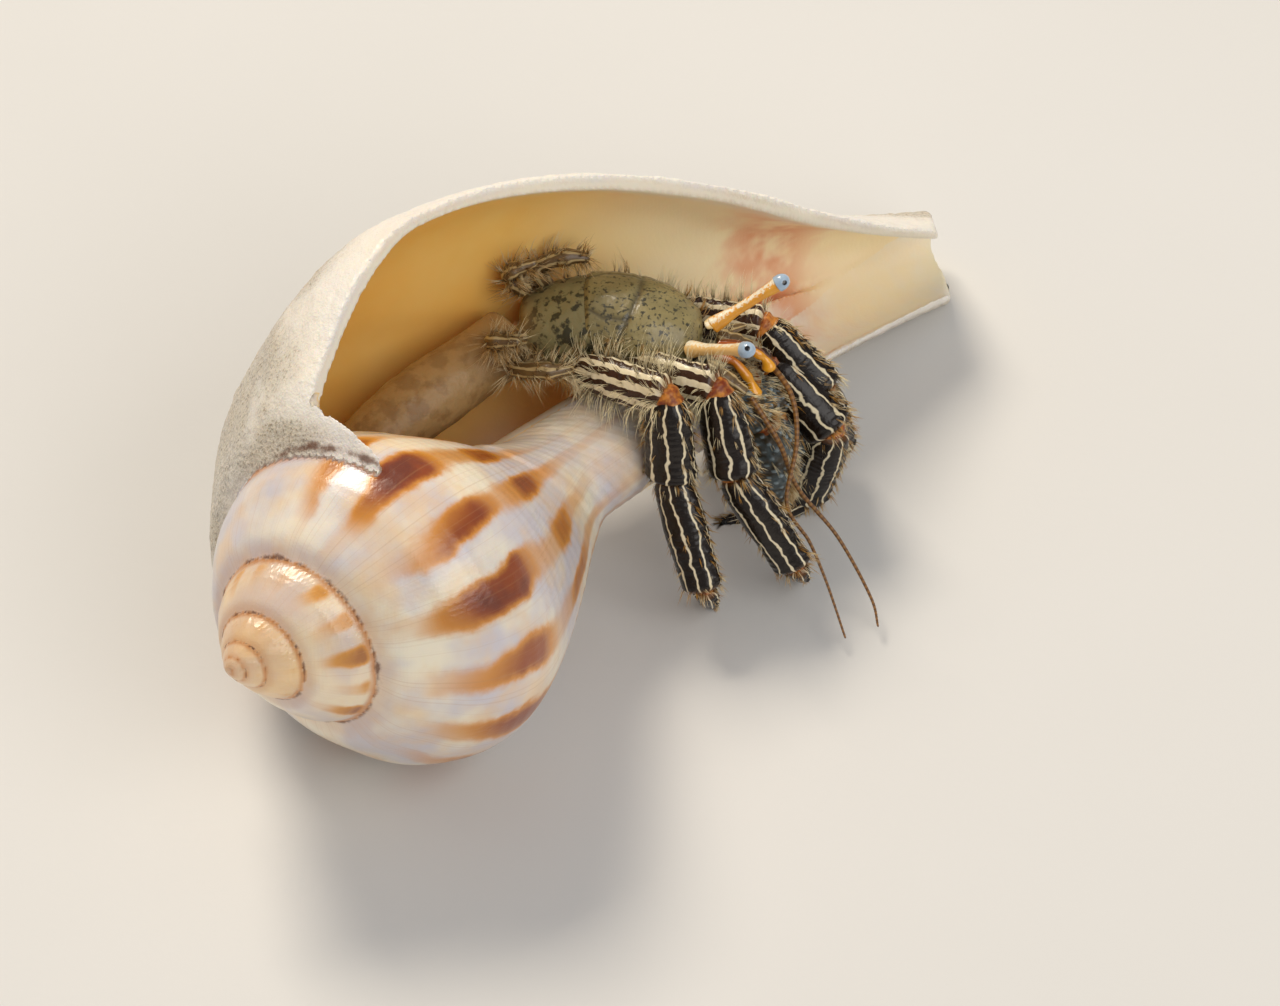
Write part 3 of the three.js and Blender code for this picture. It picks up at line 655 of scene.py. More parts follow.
def feed(socket, value):
    """Links an output to a socket, or sets a number or a written colour on it."""
    if isinstance(value, bpy.types.NodeSocket):
        socket.id_data.links.new(value, socket)
    else:
        socket.default_value = linear(value) if isinstance(value, str) else value


def add_node(graph, kind, settings=None, out=None, **inputs):
    """Adds a node and gives its output. An input is a number, a written colour or an output.

    Where the inputs of a node share a name, i0, i1 and so on pick them by number.
    """
    node = graph.nodes.new("ShaderNode" + kind)
    for name, value in (settings or {}).items():
        setattr(node, name, value)
    for name, value in inputs.items():
        socket = node.inputs[int(name[1:]) if name[1:].isdigit() else name.replace("_", " ")]
        feed(socket, value)
    return node.outputs[out] if out else next(o for o in node.outputs if o.enabled)


print("a mid grey of #808080 is", round(linear("#808080")[0], 3), "of full light")

# %% [markdown]
# Some settings come back in every finish. A noise texture's scale is a count of clouds in a metre,
# so it is worked out from the size of a cloud in millimetres. Noise times a number plus a noted
# number is one node, TIMES_PLUS, and gives a clean edge its natural unevenness.

# %% Settings that come back
TIMES, PLUS, MINUS, TIMES_PLUS, LARGER, COSINE, SIZE_OF = (
    {"operation": name}
    for name in ("MULTIPLY", "ADD", "SUBTRACT", "MULTIPLY_ADD", "MAXIMUM", "COSINE", "ABSOLUTE"))
COLOURS = {"data_type": "RGBA"}
SMOOTH = {"interpolation_type": "SMOOTHSTEP"}


def cloud(size_mm, detail=3.0):
    """The scale and detail of a noise texture whose clouds are about this many millimetres across."""
    return {"Scale": 1 / (size_mm * MM), "Detail": detail, "Roughness": 0.55}


print("clouds of 9 mm:", cloud(9.0))

# %% [markdown]
# Every finish starts with an empty material and ends with the same three links: colour, fine
# relief and roughness. The start gives back add, which is add_node tied to the new graph. Values
# that are the same all over are set on the shader itself.

# %% Start and complete a finish
def new_finish(name):
    """An empty material, the function that adds nodes to it, its shader, and each point's place."""
    material = bpy.data.materials.new(name)
    material.use_nodes = True
    graph = material.node_tree
    add = partial(add_node, graph)
    return material, add, graph.nodes["Principled BSDF"], add("TexCoord", out="Object")


def complete(add, shader, colour, roughness, height, depth_mm, **constants):
    """Gives a shader its colour, roughness, fine relief and the values that are constant."""
    bump = add("Bump", Height=height, Distance=depth_mm * MM, Strength=1.0)
    for name, value in (("Base Color", colour), ("Normal", bump), ("Roughness", roughness)):
        feed(shader.inputs[name], value)
    for name, value in constants.items():
        shader.inputs[name.replace("_", " ")].default_value = value
    print("nodes in this finish:", len(shader.id_data.nodes))


def coat(obj, *materials):
    """Gives a mesh its materials. Booleans may have left it an empty place for one."""
    obj.data.materials.clear()
    for material in materials:
        obj.data.materials.append(material)


print("materials that came with the frame:", len(bpy.data.materials))

# %% [markdown]
# ### Aragonite: the worn, wet shell
# A snail's shell is aragonite in fine crossed layers, laid down with brown pigment in patches.
# Wet, it is as glossy as glazed china, with an IOR near 1.6, and a little light passes through
# it. Its marks are of four kinds: chestnut flames about every 25 degrees of growth, darkest on
# two bands of the whorl; thin brown lines of growth; a stain and a thin dark line along the seams;
# and a film of sand on the last whorl, which has lost its gloss.
#
# Brown needs a rhythm and a strength. The rhythm is a wave along the growth, and the strength
# comes from two short tables and some noise. Both are noted on the points here.

# %% Note the flames
FLAME_STEP = 25.0  # degrees of growth from one flame to the next
# Strength of the brown by share of the length: the pale shoulder, two dark bands, the pale base.
BROWN_BANDS = [
    (0.17, 0.12), (0.215, 0.14), (0.25, 0.32), (0.29, 0.52), (0.32, 0.78), (0.35, 1.0), (0.395, 1.0),
    (0.425, 0.5), (0.46, 0.3), (0.53, 0.36), (0.565, 0.7), (0.61, 0.7), (0.65, 0.35), (0.8, 0.15)]
# Strength by growth angle: the flames are strong on part of the body whorl, and faded elsewhere.
FLAME_FADING = [
    (-2000, 0.3), (-900, 0.35), (-720, 0.8), (-620, 0.95), (-560, 0.35), (-470, 0.1), (-385, 0.14),
    (-368, 1.0), (-235, 1.0), (-200, 0.8), (-120, 0.45), (0, 0.35)]

drift = growth_noise(60, 5, 11)
wander = growth_noise(18, 14, 12)
vigour = growth_noise(24, 3.5, 13)
band_shift = 0.016 * growth_noise(11, 9, 14)
brown = along(BROWN_BANDS, share + band_shift) * along(FLAME_FADING, turn) * (1 + 0.75 * vigour)
brown = brown * smoothstep(seam_mm, 0.0, 0.9)
note(
    shell,
    flame_phase=turn / FLAME_STEP + 0.14 * drift + 0.1 * wander,
    brown=np.clip(brown, 0, 1) * outside,
)
print("points with strong brown:", int((brown > 0.6).sum()))

# %% [markdown]
# The other marks follow the growth too. The spire has lost its outer layer at the tip, the sand
# lies on the outside of the last whorl only, and the inside has a rust-red patch where it runs
# into the canal.

# %% Note the other marks
SPIRE_WEAR, SAND_SHARE = (-380, -1000), 0.85
CANAL_STARTS, RUST_MIDDLE, RUST_REACH = (50, 72), 79, 5  # millimetres from the apex

note(
    shell,
    growth_line=turn,
    inside=inside,
    lip_mm=np.clip(lip_mm, 0, 60),
    seam_mm=np.clip(seam_mm / size**0.5, 0, 9),
    under_seam=under_seam,
    spire=smoothstep(turn, *SPIRE_WEAR),
    worn=SAND_SHARE * last_whorl * outside,
    canal=smoothstep(place["distance"], *CANAL_STARTS),
    rust=np.exp(-(((place["distance"] - RUST_MIDDLE) / RUST_REACH) ** 2)),
)
notes = [layer.name for layer in shell.data.attributes if layer.data_type == "FLOAT"]
print("notes on the shell:", notes)

# %% [markdown]
# The ground is cream where it is warm, and lilac-grey where old layers show through. Three noises
# of different sizes are made first, because most of the marks below share them.

# %% Aragonite: the pale ground
aragonite, add, shader, at = new_finish("aragonite_worn_wet")
noted = {
    name: add("Attribute", {"attribute_name": name}, out="Fac")
    for name in ("flame_phase", "brown", "growth_line", "inside", "lip_mm", "seam_mm", "under_seam",
                 "spire", "worn", "canal", "rust")
}
clouds = add("TexNoise", Vector=at, **cloud(9.0))
fine = add("TexNoise", Vector=at, **cloud(1.6, 6.0))
specks = add("TexNoise", Vector=at, **cloud(0.28, 2.0))
blotches = add("TexNoise", Vector=at, **cloud(7.0))
cream = add("MapRange", SMOOTH, Value=clouds, From_Min=0.38, From_Max=0.62)
ground = add("Mix", COLOURS, i0=cream, i6="#d2ccd2", i7="#f5ead4")
warm = add("TexNoise", Vector=at, **cloud(5.0))
warm = add("MapRange", SMOOTH, Value=warm, From_Min=0.42, From_Max=0.75, To_Max=0.6)
ground = add("Mix", COLOURS, i0=warm, i6=ground, i7="#ecc48c")
print("numbers that the finish reads:", len(noted))

# %% [markdown]
# The flames are a wave along the growth, roughened by the fine noise, times the strength. Where
# the product is low they are amber, then chestnut, and plum in the middle of the darkest ones.

# %% Aragonite: the flames
phase = add("Math", TIMES_PLUS, i0=fine, i1=0.2, i2=noted["flame_phase"])
wave = add("Math", COSINE, i0=add("Math", TIMES, i0=phase, i1=2 * math.pi))
wave = add("MapRange", SMOOTH, Value=wave, From_Min=-0.9, From_Max=0.95)
flame = add("Math", TIMES, i0=wave, i1=noted["brown"])
amber = add("MapRange", SMOOTH, Value=flame, From_Min=0.04, From_Max=0.45)
chestnut = add("MapRange", SMOOTH, Value=flame, From_Min=0.28, From_Max=0.85)
plum = add("MapRange", SMOOTH, Value=flame, From_Min=0.65, From_Max=1.2)
plum_patch = add("MapRange", SMOOTH, Value=blotches, From_Min=0.4, From_Max=0.6)
plum = add("Math", TIMES, i0=plum, i1=plum_patch)
marks = ground
for shown, colour in ((amber, "#d99238"), (chestnut, "#93420b"), (plum, "#5e2518")):
    marks = add("Mix", COLOURS, i0=shown, i6=marks, i7=colour)
print("nodes so far:", len(shader.id_data.nodes))

# %% [markdown]
# Thin lines of growth are each a little browner than their neighbours. They are noise along one
# direction only. The spire's tip is worn to the orange layers below.

# %% Aragonite: growth lines and spire
lines = add("TexNoise", {"noise_dimensions": "1D"}, W=noted["growth_line"], Scale=0.9, Detail=4.0)
lines = add("MapRange", SMOOTH, Value=lines, From_Min=0.56, From_Max=0.72, To_Max=0.2)
marks = add("Mix", COLOURS, i0=lines, i6=marks, i7="#b98a58")
spire_share = add("Math", TIMES, i0=noted["spire"], i1=0.6)
marks = add("Mix", COLOURS, i0=spire_share, i6=marks, i7="#e8b460")
print("nodes so far:", len(shader.id_data.nodes))

# %% [markdown]
# The last whorl is chalky grey-white under a film of sand, with darker grains in it. The waves
# have kept a band about a centimetre wide clean and white behind the lip.

# %% Aragonite: the sanded last whorl
from_lip = add("Math", TIMES_PLUS, i0=clouds, i1=9.0, i2=noted["lip_mm"])
dirty = add("MapRange", SMOOTH, Value=from_lip, From_Min=7.5, From_Max=13.0)
film = add("MapRange", SMOOTH, Value=blotches, From_Min=0.26, From_Max=0.55)
film = add("Math", TIMES, i0=film, i1=dirty)
thin_film = add("Math", TIMES, i0=film, i1=0.6)
grains = add("MapRange", SMOOTH, Value=specks, From_Min=0.5, From_Max=0.7)
grains = add("Math", TIMES, i0=film, i1=grains)
chalk = add("Mix", COLOURS, i0=clouds, i6="#ddd6c8", i7="#f0ebe0")
chalk = add("Mix", COLOURS, i0=dirty, i6="#f6f0e6", i7=chalk)
for shown, colour in ((thin_film, "#b3a68d"), (grains, "#7f7058")):
    chalk = add("Mix", COLOURS, i0=shown, i6=chalk, i7=colour)
marks = add("Mix", COLOURS, i0=noted["worn"], i6=marks, i7=chalk)
print("nodes so far:", len(shader.id_data.nodes))

# %% [markdown]
# Each seam has a wide amber stain, which shows most under the seam, and a thin dark line.

# %% Aragonite: the seams
seam = add("Math", TIMES_PLUS, i0=fine, i1=-0.8, i2=noted["seam_mm"])
stain = add("MapRange", SMOOTH, Value=seam, From_Min=0.9, From_Max=-0.35)
stain_side = add("MapRange", Value=noted["under_seam"], To_Min=0.3, To_Max=0.9)
not_worn = add("Math", MINUS, i0=1.0, i1=noted["worn"])
stain = add("Math", TIMES, i0=stain, i1=stain_side)
stain = add("Math", TIMES, i0=stain, i1=not_worn)
marks = add("Mix", COLOURS, i0=stain, i6=marks, i7="#cb8440")
# A thin dark line along the middle of each seam, which also dulls the gloss.
dark_seam_line = add("MapRange", SMOOTH, Value=seam, From_Min=-0.2, From_Max=-0.45, To_Max=0.85)
marks = add("Mix", COLOURS, i0=dark_seam_line, i6=marks, i7="#6b3c16")
print("nodes so far:", len(shader.id_data.nodes))

# %% [markdown]
# The inside is smooth as porcelain: warm orange in its depth, cream towards the canal, with the
# rust-red patch between them and a white rim all along the lip and the gutter's edge.

# %% Aragonite: the inside
lining = add("Mix", COLOURS, i0=clouds, i6="#fabf52", i7="#fddc88")
lining = add("Mix", COLOURS, i0=noted["canal"], i6=lining, i7="#fae6bb")
rusty = add("TexNoise", Vector=at, **cloud(6.0))
rusty = add("MapRange", SMOOTH, Value=rusty, From_Min=0.36, From_Max=0.6, To_Max=0.75)
rusty = add("Math", TIMES, i0=rusty, i1=noted["rust"])
lining = add("Mix", COLOURS, i0=rusty, i6=lining, i7="#d66f28")
rim = add("Math", TIMES_PLUS, i0=fine, i1=2.0, i2=noted["lip_mm"])
rim = add("MapRange", SMOOTH, Value=rim, From_Min=4.5, From_Max=1.6)
lining = add("Mix", COLOURS, i0=rim, i6=lining, i7="#f3ead8")
shell_colour = add("Mix", COLOURS, i0=noted["inside"], i6=marks, i7=lining)
print("nodes so far:", len(shader.id_data.nodes))

# %% [markdown]
# The gloss is that of wet china, but for the sanded last whorl and the dark lines in the seams.
# Fine pits and the sand's grit are left to a bump, because they are smaller than the faces of the
# mesh.

# %% Aragonite: gloss and pits
dull = add("Math", LARGER, i0=noted["worn"], i1=dark_seam_line)
roughness = add("MapRange", Value=dull, To_Min=0.25, To_Max=0.65)
roughness = add("Math", TIMES_PLUS, i0=fine, i1=0.12, i2=roughness)
pits = add("Math", PLUS, i0=dull, i1=0.1)
pits = add("Math", TIMES, i0=specks, i1=pits)
sand_grit = add("TexNoise", Vector=at, **cloud(0.6))
sand_grit = add("Math", TIMES, i0=sand_grit, i1=noted["worn"])
grit_height = add("MapRange", Value=film, To_Min=0.4, To_Max=3.5)
pits = add("Math", TIMES_PLUS, i0=sand_grit, i1=grit_height, i2=pits)
complete(add, shader, shell_colour, roughness, pits, 0.12, IOR=1.6, Coat_Weight=0.3,
         Coat_Roughness=0.2, Subsurface_Weight=0.25, Subsurface_Scale=0.002,
         Subsurface_Radius=(1.0, 0.7, 0.4))
coat(shell, aragonite)

# %% [markdown]
# ## The crab's body plan
# A hermit crab is a row of hard pieces on a soft body. The sizes here are those of the frame, so
# each fine piece lies where its plain solid does. A limb could be given by the places of its
# joints, but it is given by headings, the way each piece points from the hip out, because a
# piece then keeps its length whichever way it is turned.

# %% The crab's sizes
TRUNK_MIDDLE = np.array((2.1, 8, 22.2))

# Half width, half thickness, swell and bow of the pieces of a walking leg and of a claw.
MERUS = ((2.1, 1.45), [(0, 0.8), (0.4, 1), (1, 0.95)], 0)
CARPUS = ((2.4, 1.9), [(0, 0.8), (0.5, 1), (1, 1)], 0)
PROPODUS = ((2.2, 1.7), [(0, 0.92), (0.4, 1), (1, 0.85)], 0)
DACTYL = ((1.5, 1.15), [(0, 1), (0.5, 0.75), (1, 0.28)], 1)
CLAW_MERUS = ((1.8, 1.5), [(0, 0.8), (0.5, 1), (1, 1)], 0)
CLAW_CARPUS = ((2.1, 1.8), [(0, 0.85), (0.6, 1), (1, 1)], 0)
HAND = ((2.6, 1.9), [(0, 0.75), (0.35, 1), (0.65, 0.85), (1, 0.25)], 0)
LEG_SHAPES, CLAW_SHAPES = [MERUS, CARPUS, PROPODUS, DACTYL], [CLAW_MERUS, CLAW_CARPUS, HAND]
LEG_LENGTHS, CLAW_LENGTHS = (9.7, 8.4, 10.8, 8.4), (6.4, 3.9, 10.3)

# Hip from the middle of the trunk, headings of the pieces, and the way a leg's last piece turns.
LIMBS = {
    "leg_2_right": ((0.9, -4.3, -1), [(-27, 8), (-66, -61), (-32, -53)], 85),
    "leg_3_right": ((-3.2, -5.5, -0.3), [(-31, 10), (-82, -70), (-63, -54)], 84),
    "leg_2_left": ((5.4, 2.1, -3), [(-17, -10), (-32, -40), (147, -76)], -167),
    "leg_3_left": ((4.2, 3.2, -1.8), [(-12, 0), (-25, -45), (63, -74)], 133),
    "claw_right": ((4.5, -4.5, -2.9), [(-13, -10), (0, -41), (-41, -79)], None),
    "claw_left": ((6.5, -2.3, -3.6), [(-4, -18), (4, -46), (-50, -81)], None),
}
print("large limbs:", list(LIMBS))

# %% [markdown]
# ## Tubes with rounded ends
# Legs, stalks and feelers are all tubes along a line. Each ring keeps the way it faces noted in
# two numbers, the cosine and sine of its angle. A map could carry the stripes too, but it has a
# seam. With these two numbers stripes run along a leg with no break all round it.

# %% Rings along a line
LEAST_END = 0.0025  # square of the share of its radius that a rounded end keeps


def even_ends(count):
    """Shares from 0 to 1 that lie closer together near both ends."""
    t = np.linspace(0, 1, count)
    return 0.45 * t + 0.55 * (0.5 - 0.5 * np.cos(math.pi * t))


def rounded(to_end):
    """The share of a tube's radius near its end, as on a ball, for a share of the way there."""
    return np.sqrt(np.clip(1 - (1 - np.clip(to_end, 0, 1)) ** 2, LEAST_END, 1))


def tube(line, across, half_across, half_up, sides, round_mm):
    """The rings of a tube with rounded ends, and what is noted at each of its points."""
    line = np.asarray(line, float)
    at = np.concatenate([[0], np.cumsum(np.linalg.norm(np.diff(line, axis=0), axis=1))])
    tangent = unit(np.gradient(line, at, axis=0))
    flat = unit(across - (tangent @ across)[:, None] * tangent)
    upright = np.cross(flat, tangent)
    cap = rounded(np.minimum(at, at[-1] - at) / round_mm)
    angle = np.linspace(0, 2 * math.pi, sides, endpoint=False)
    cosine, sine = np.cos(angle)[None, :, None], np.sin(angle)[None, :, None]
    wide = (np.asarray(half_across) * cap)[:, None, None]
    tall = (np.asarray(half_up) * cap)[:, None, None]
    rings = line[:, None] + flat[:, None] * wide * cosine + upright[:, None] * tall * sine
    per_point = np.zeros((len(line), sides))
    notes = {
        "along": per_point + (at / at[-1])[:, None],
        "mm": per_point + at[:, None],
        "ring_x": per_point + np.cos(angle),
        "ring_y": per_point + np.sin(angle),
    }
    return {"rings": rings, "line": line, "tangent": tangent, "notes": notes, "material": 0}


def noted_as(part, **values):
    """Notes the same number at every point of a tube."""
    for name, value in values.items():
        part["notes"][name] = np.full(part["rings"].shape[:2], float(value))
    return part


def swell_out(part, height):
    """Moves the points of a tube away from its line by a height in millimetres."""
    out = part["rings"] - part["line"][:, None]
    length = np.linalg.norm(out, axis=-1, keepdims=True)
    part["rings"] = part["rings"] + out / np.maximum(length, 1e-6) * height[..., None]
    return part


print("an end keeps", LEAST_END**0.5, "of its radius")

# %% [markdown]
# The tubes of one limb are separate closed bodies, joined in one mesh, as the hard pieces of the
# real limb are separate and held by skin. Each face keeps its tube's material.

# %% Join tubes in one mesh
def assemble(name, tubes, materials):
    """One mesh of several closed tubes, with their notes and materials."""
    points, faces, kinds, notes = [], [], [], {}
    start = 0
    for part in tubes:
        own = with_ends(part["rings"])
        made = loft_faces(*part["rings"].shape[:2])
        faces += [tuple(i + start for i in face) for face in made]
        kinds += [part["material"]] * len(made)
        points.append(own)
        start += len(own)
        for key, value in part["notes"].items():
            notes.setdefault(key, []).append(with_ends(value))
    obj = new_object(name, np.concatenate(points), faces)
    coat(obj, *materials)
    obj.data.polygons.foreach_set("material_index", kinds)
    note(obj, **{key: np.concatenate(values) for key, values in notes.items()})
    return obj


print("notes on a tube:", list(tube([(0, 0, 0), (0, 0, 9)], (1, 0, 0), 1, 1, 12, 0.5)["notes"]))

# %% [markdown]
# ## Walking legs and claws
# Each leg piece is a slightly flattened bar that is waisted where it sits in the one before and
# flares where it takes the next. Between them is a soft fold of joint skin. A bar is told its
# joints, and works out for itself which way its limb bends.

# %% Bars and folds of a limb
FLAT_SINK = 0.12  # millimetres that a leg's tip stands into the floor
TUCK_IN, REACH_OUT = 0.12, 0.16  # shares of the half width by which a bar passes its joints
BAR_STEPS, BAR_SIDES = 76, 60
FOLD_REACH, FOLD_SIZE, FOLD_COUNT = 0.62, 0.72, 4
FOLD_STEPS, FOLD_SIDES, FOLD_ROUNDING = 24, 36, 0.7
JOINT_SKIN = 1  # the second material of a limb


def limb_joints(hip, bends, to_floor, lengths):
    """The joints of a limb. The last piece of a leg slopes just enough to reach the floor."""
    joints = [TRUNK_MIDDLE + np.array(hip)]
    for (turn_way, rise), length in zip(bends, lengths):
        joints.append(joints[-1] + heading(turn_way, rise) * length)
    if to_floor is not None:
        length = lengths[len(bends)]
        drop = math.degrees(math.asin((joints[-1][2] + FLAT_SINK) / length))
        joints.append(joints[-1] + heading(to_floor, -drop) * length)
    return np.array(joints)


def limb_ways(joints):
    """The way each piece of a limb points, and the way its hinges lie."""
    ways = unit(np.diff(joints, axis=0))
    return ways, unit(np.cross(ways[0], ways[1]))


def bent_line(start, middle, end, t):
    return start * (1 - t) ** 2 + 2 * middle * t * (1 - t) + end * t**2


def limb_bar(joints, index, shape):
    """One hard piece of a limb, a little short of its joints."""
    (wide, thick), swell, bow = shape
    ways, hinge = limb_ways(joints)
    way = ways[index]
    last = index == len(ways) - 1
    start = joints[index] - way * (0 if index == 0 else wide * TUCK_IN)
    end = joints[index + 1] + way * (0 if last else wide * REACH_OUT)
    middle = (start + end) / 2 + np.cross(way, hinge) * bow
    t = even_ends(BAR_STEPS)
    size_along = along(swell, t)
    if not last:
        size_along = size_along * (1 + 0.07 * smoothstep(t, 0.7, 0.95))
    size_along = size_along * (1 - 0.1 * smoothstep(t, 0.2, 0.03))
    line = bent_line(start, middle, end, t[:, None])
    return tube(line, hinge, thick * size_along, wide * size_along, BAR_SIDES, 0.55 * thick)


def joint_fold(joints, index, shape):
    """The soft skin at a joint: a short ringed tube between two hard pieces."""
    wide, thick = shape[0]
    ways, hinge = limb_ways(joints)
    start = joints[index] - ways[index - 1] * wide * FOLD_REACH
    end = joints[index] + ways[index] * wide * FOLD_REACH
    t = np.linspace(0, 1, FOLD_STEPS)
    folds = FOLD_SIZE + 0.035 * np.cos(t * 2 * math.pi * FOLD_COUNT)
    line = bent_line(start, joints[index], end, t[:, None])
    part = tube(line, hinge, thick * folds, wide * folds, FOLD_SIDES, FOLD_ROUNDING)
    part["material"] = JOINT_SKIN
    return part


print("a leg is", round(sum(LEG_LENGTHS), 1), "mm long, and a claw", round(sum(CLAW_LENGTHS), 1), "mm")

# %% [markdown]
# The hard pieces carry low scale-like ridges across them, and rows of blunt spines along the upper
# and lower edge. The claws are covered in tubercles, like peppercorns pressed into leather.

# %% Relief of legs and claws
RIDGE_PITCH, SPINE_PITCH, BEAD_PITCH, BEADS_AROUND = 0.62, 1.25, 0.78, 13


def rough_leg(part, seed):
    """Low ridges across a leg piece, and two rows of blunt spines along its edges."""
    notes, p = part["notes"], part["rings"]
    ridges = np.sin(notes["mm"] * 2 * math.pi / RIDGE_PITCH + 3 * soft_noise(p, 1.6, seed))
    patchy = smoothstep(soft_noise(p, 1.1, seed + 1), -0.2, 0.5)
    height = 0.035 * ridges * patchy + 0.07 * soft_noise(p, 2.2, seed + 2)
    spines = np.maximum(0, np.cos(notes["mm"] * 2 * math.pi / SPINE_PITCH)) ** 3
    edge = smoothstep(np.abs(notes["ring_y"]), 0.93, 0.995)
    middle = smoothstep(notes["along"], 0.08, 0.2) * smoothstep(notes["along"], 0.97, 0.9)
    return swell_out(part, (height + 0.16 * spines * edge) * middle)


def rough_claw(part, seed):
    """Tubercles on rows that are set off from one another, as bricks are."""
    notes = part["notes"]
    angle = np.arctan2(notes["ring_y"], notes["ring_x"])
    row = notes["mm"] / BEAD_PITCH
    place_in_row = angle / (2 * math.pi) * BEADS_AROUND + 0.5 * (np.floor(row) % 2)
    across = place_in_row - np.floor(place_in_row) - 0.5
    up = row - np.floor(row) - 0.5
    jitter = hash01(np.floor(row), np.floor(place_in_row) % BEADS_AROUND, seed)
    bead = smoothstep(np.hypot(across, up), 0.42, 0.08) * (0.4 + 0.6 * jitter)
    middle = smoothstep(notes["along"], 0.03, 0.12) * smoothstep(notes["along"], 1.0, 0.9)
    notes["bead"] = bead * middle
    return swell_out(part, 0.26 * bead * middle + 0.05 * soft_noise(part["rings"], 1.5, seed))


limb_parts = {}
for number, (name, (hip, bends, to_floor)) in enumerate(LIMBS.items()):
    is_leg = name.startswith("leg")
    joints = limb_joints(hip, bends, to_floor, LEG_LENGTHS if is_leg else CLAW_LENGTHS)
    parts = []
    for i, shape in enumerate(LEG_SHAPES if is_leg else CLAW_SHAPES):
        bar = noted_as(limb_bar(joints, i, shape), pale=i == 0, tip=is_leg and i == 3, bead=0)
        seed = (20 if is_leg else 60) + 5 * number + i
        parts.append(rough_leg(bar, seed) if is_leg else rough_claw(bar, seed))
        if i > 0:
            parts.append(noted_as(joint_fold(joints, i, shape), pale=0, tip=0, bead=0))
    limb_parts[name] = parts
print("parts of each limb:", {name: len(parts) for name, parts in limb_parts.items()})

# %% [markdown]
# ### Striped chitin: the walking legs
# The hard skin of a crab is chitin stiffened with lime, thin, tough and a little waxy when wet. On
# this species the legs are nearly black with thin cream lines that run lengthwise and waver a
# little. The thighs are paler, with as much cream as brown.
#
# The stripes are a wave round the leg. Its angle comes from the two numbers noted on each ring,
# so that it needs no map, and some noise added to the angle makes the stripes waver.

# %% Striped chitin: the stripes
STRIPES_AROUND = 9
WAVER = 5.0  # radians of a stripe's wave, from one side to the other


def stripe_wave(add, at, count):
    """A wave with so many crests round a leg, which wavers a little along it."""
    x = add("Attribute", {"attribute_name": "ring_x"}, out="Fac")
    y = add("Attribute", {"attribute_name": "ring_y"}, out="Fac")
    angle = add("Math", {"operation": "ARCTAN2"}, i0=y, i1=x)
    waver = add("TexNoise", Vector=at, **cloud(1.7, 2.5))
    waver = add("Math", TIMES_PLUS, i0=waver, i1=WAVER, i2=-WAVER / 2)
    return add("Math", COSINE, i0=add("Math", TIMES_PLUS, i0=angle, i1=count, i2=waver))


striped, add, shader, at = new_finish("chitin_striped")
fine = add("TexNoise", Vector=at, **cloud(0.5, 4.0))
patch = add("TexNoise", Vector=at, **cloud(2.2))
pale = add("Attribute", {"attribute_name": "pale"}, out="Fac")
level = add("MapRange", Value=pale, To_Min=0.87, To_Max=0.15)
line_mask = add("Math", MINUS, i0=stripe_wave(add, at, STRIPES_AROUND), i1=level)
line_mask = add("MapRange", SMOOTH, Value=line_mask, From_Min=-0.08, From_Max=0.1)
leg_colour = add("Mix", COLOURS, i0=patch, i6="#0e0703", i7="#1d1108")
cream = add("Mix", COLOURS, i0=patch, i6="#dccba0", i7="#f4ead0")
for shown, colour in ((pale, "#3d2518"), (line_mask, cream)):
    leg_colour = add("Mix", COLOURS, i0=shown, i6=leg_colour, i7=colour)
print("stripes round a leg:", STRIPES_AROUND)

# %% [markdown]
# Towards each joint the brown warms to amber, and the tips are dark horn. Both are found from the
# share of the way along the piece.

# %% Striped chitin: joints, tips and gloss
reach_along = add("Attribute", {"attribute_name": "along"}, out="Fac")
near_end = add("Math", MINUS, i0=reach_along, i1=0.5)
near_end = add("Math", SIZE_OF, i0=near_end)
near_end = add("Math", TIMES_PLUS, i0=fine, i1=0.06, i2=near_end)
near_end = add("MapRange", SMOOTH, Value=near_end, From_Min=0.46, From_Max=0.55, To_Max=0.8)
tip = add("Attribute", {"attribute_name": "tip"}, out="Fac")
horn = add("MapRange", SMOOTH, Value=reach_along, From_Min=0.82, From_Max=0.93)
horn = add("Math", TIMES, i0=horn, i1=tip)
for shown, colour in ((near_end, "#a5682a"), (horn, "#0e0a08")):
    leg_colour = add("Mix", COLOURS, i0=shown, i6=leg_colour, i7=colour)
leg_rough = add("MapRange", Value=fine, To_Min=0.16, To_Max=0.32)
complete(add, shader, leg_colour, leg_rough, fine, 0.06, IOR=1.45)

# %% [markdown]
# ### Joint skin
# At the joints the hard skin gives way to thin folded skin, soft and faintly see-through. It is
# amber to orange-red here, in soft patches.

# %% Joint skin
joint_skin, add, shader, at = new_finish("joint_skin_amber")
tone = add("TexNoise", Vector=at, **cloud(0.9))
tone = add("MapRange", SMOOTH, Value=tone, From_Min=0.35, From_Max=0.65)
tone = add("Mix", COLOURS, i0=tone, i6="#7d3410", i7="#cf8430")
wrinkles = add("TexNoise", Vector=at, **cloud(0.4))
complete(add, shader, tone, 0.38, wrinkles, 0.05, IOR=1.45, Subsurface_Weight=0.15,
         Subsurface_Scale=0.0008)

# %% [markdown]
# ### Tubercled chitin: the claws
# The claws are dark olive-brown, with colder patches. Each tubercle is worn paler, a blue-grey, and
# holds a small light, so the claws look beaded.

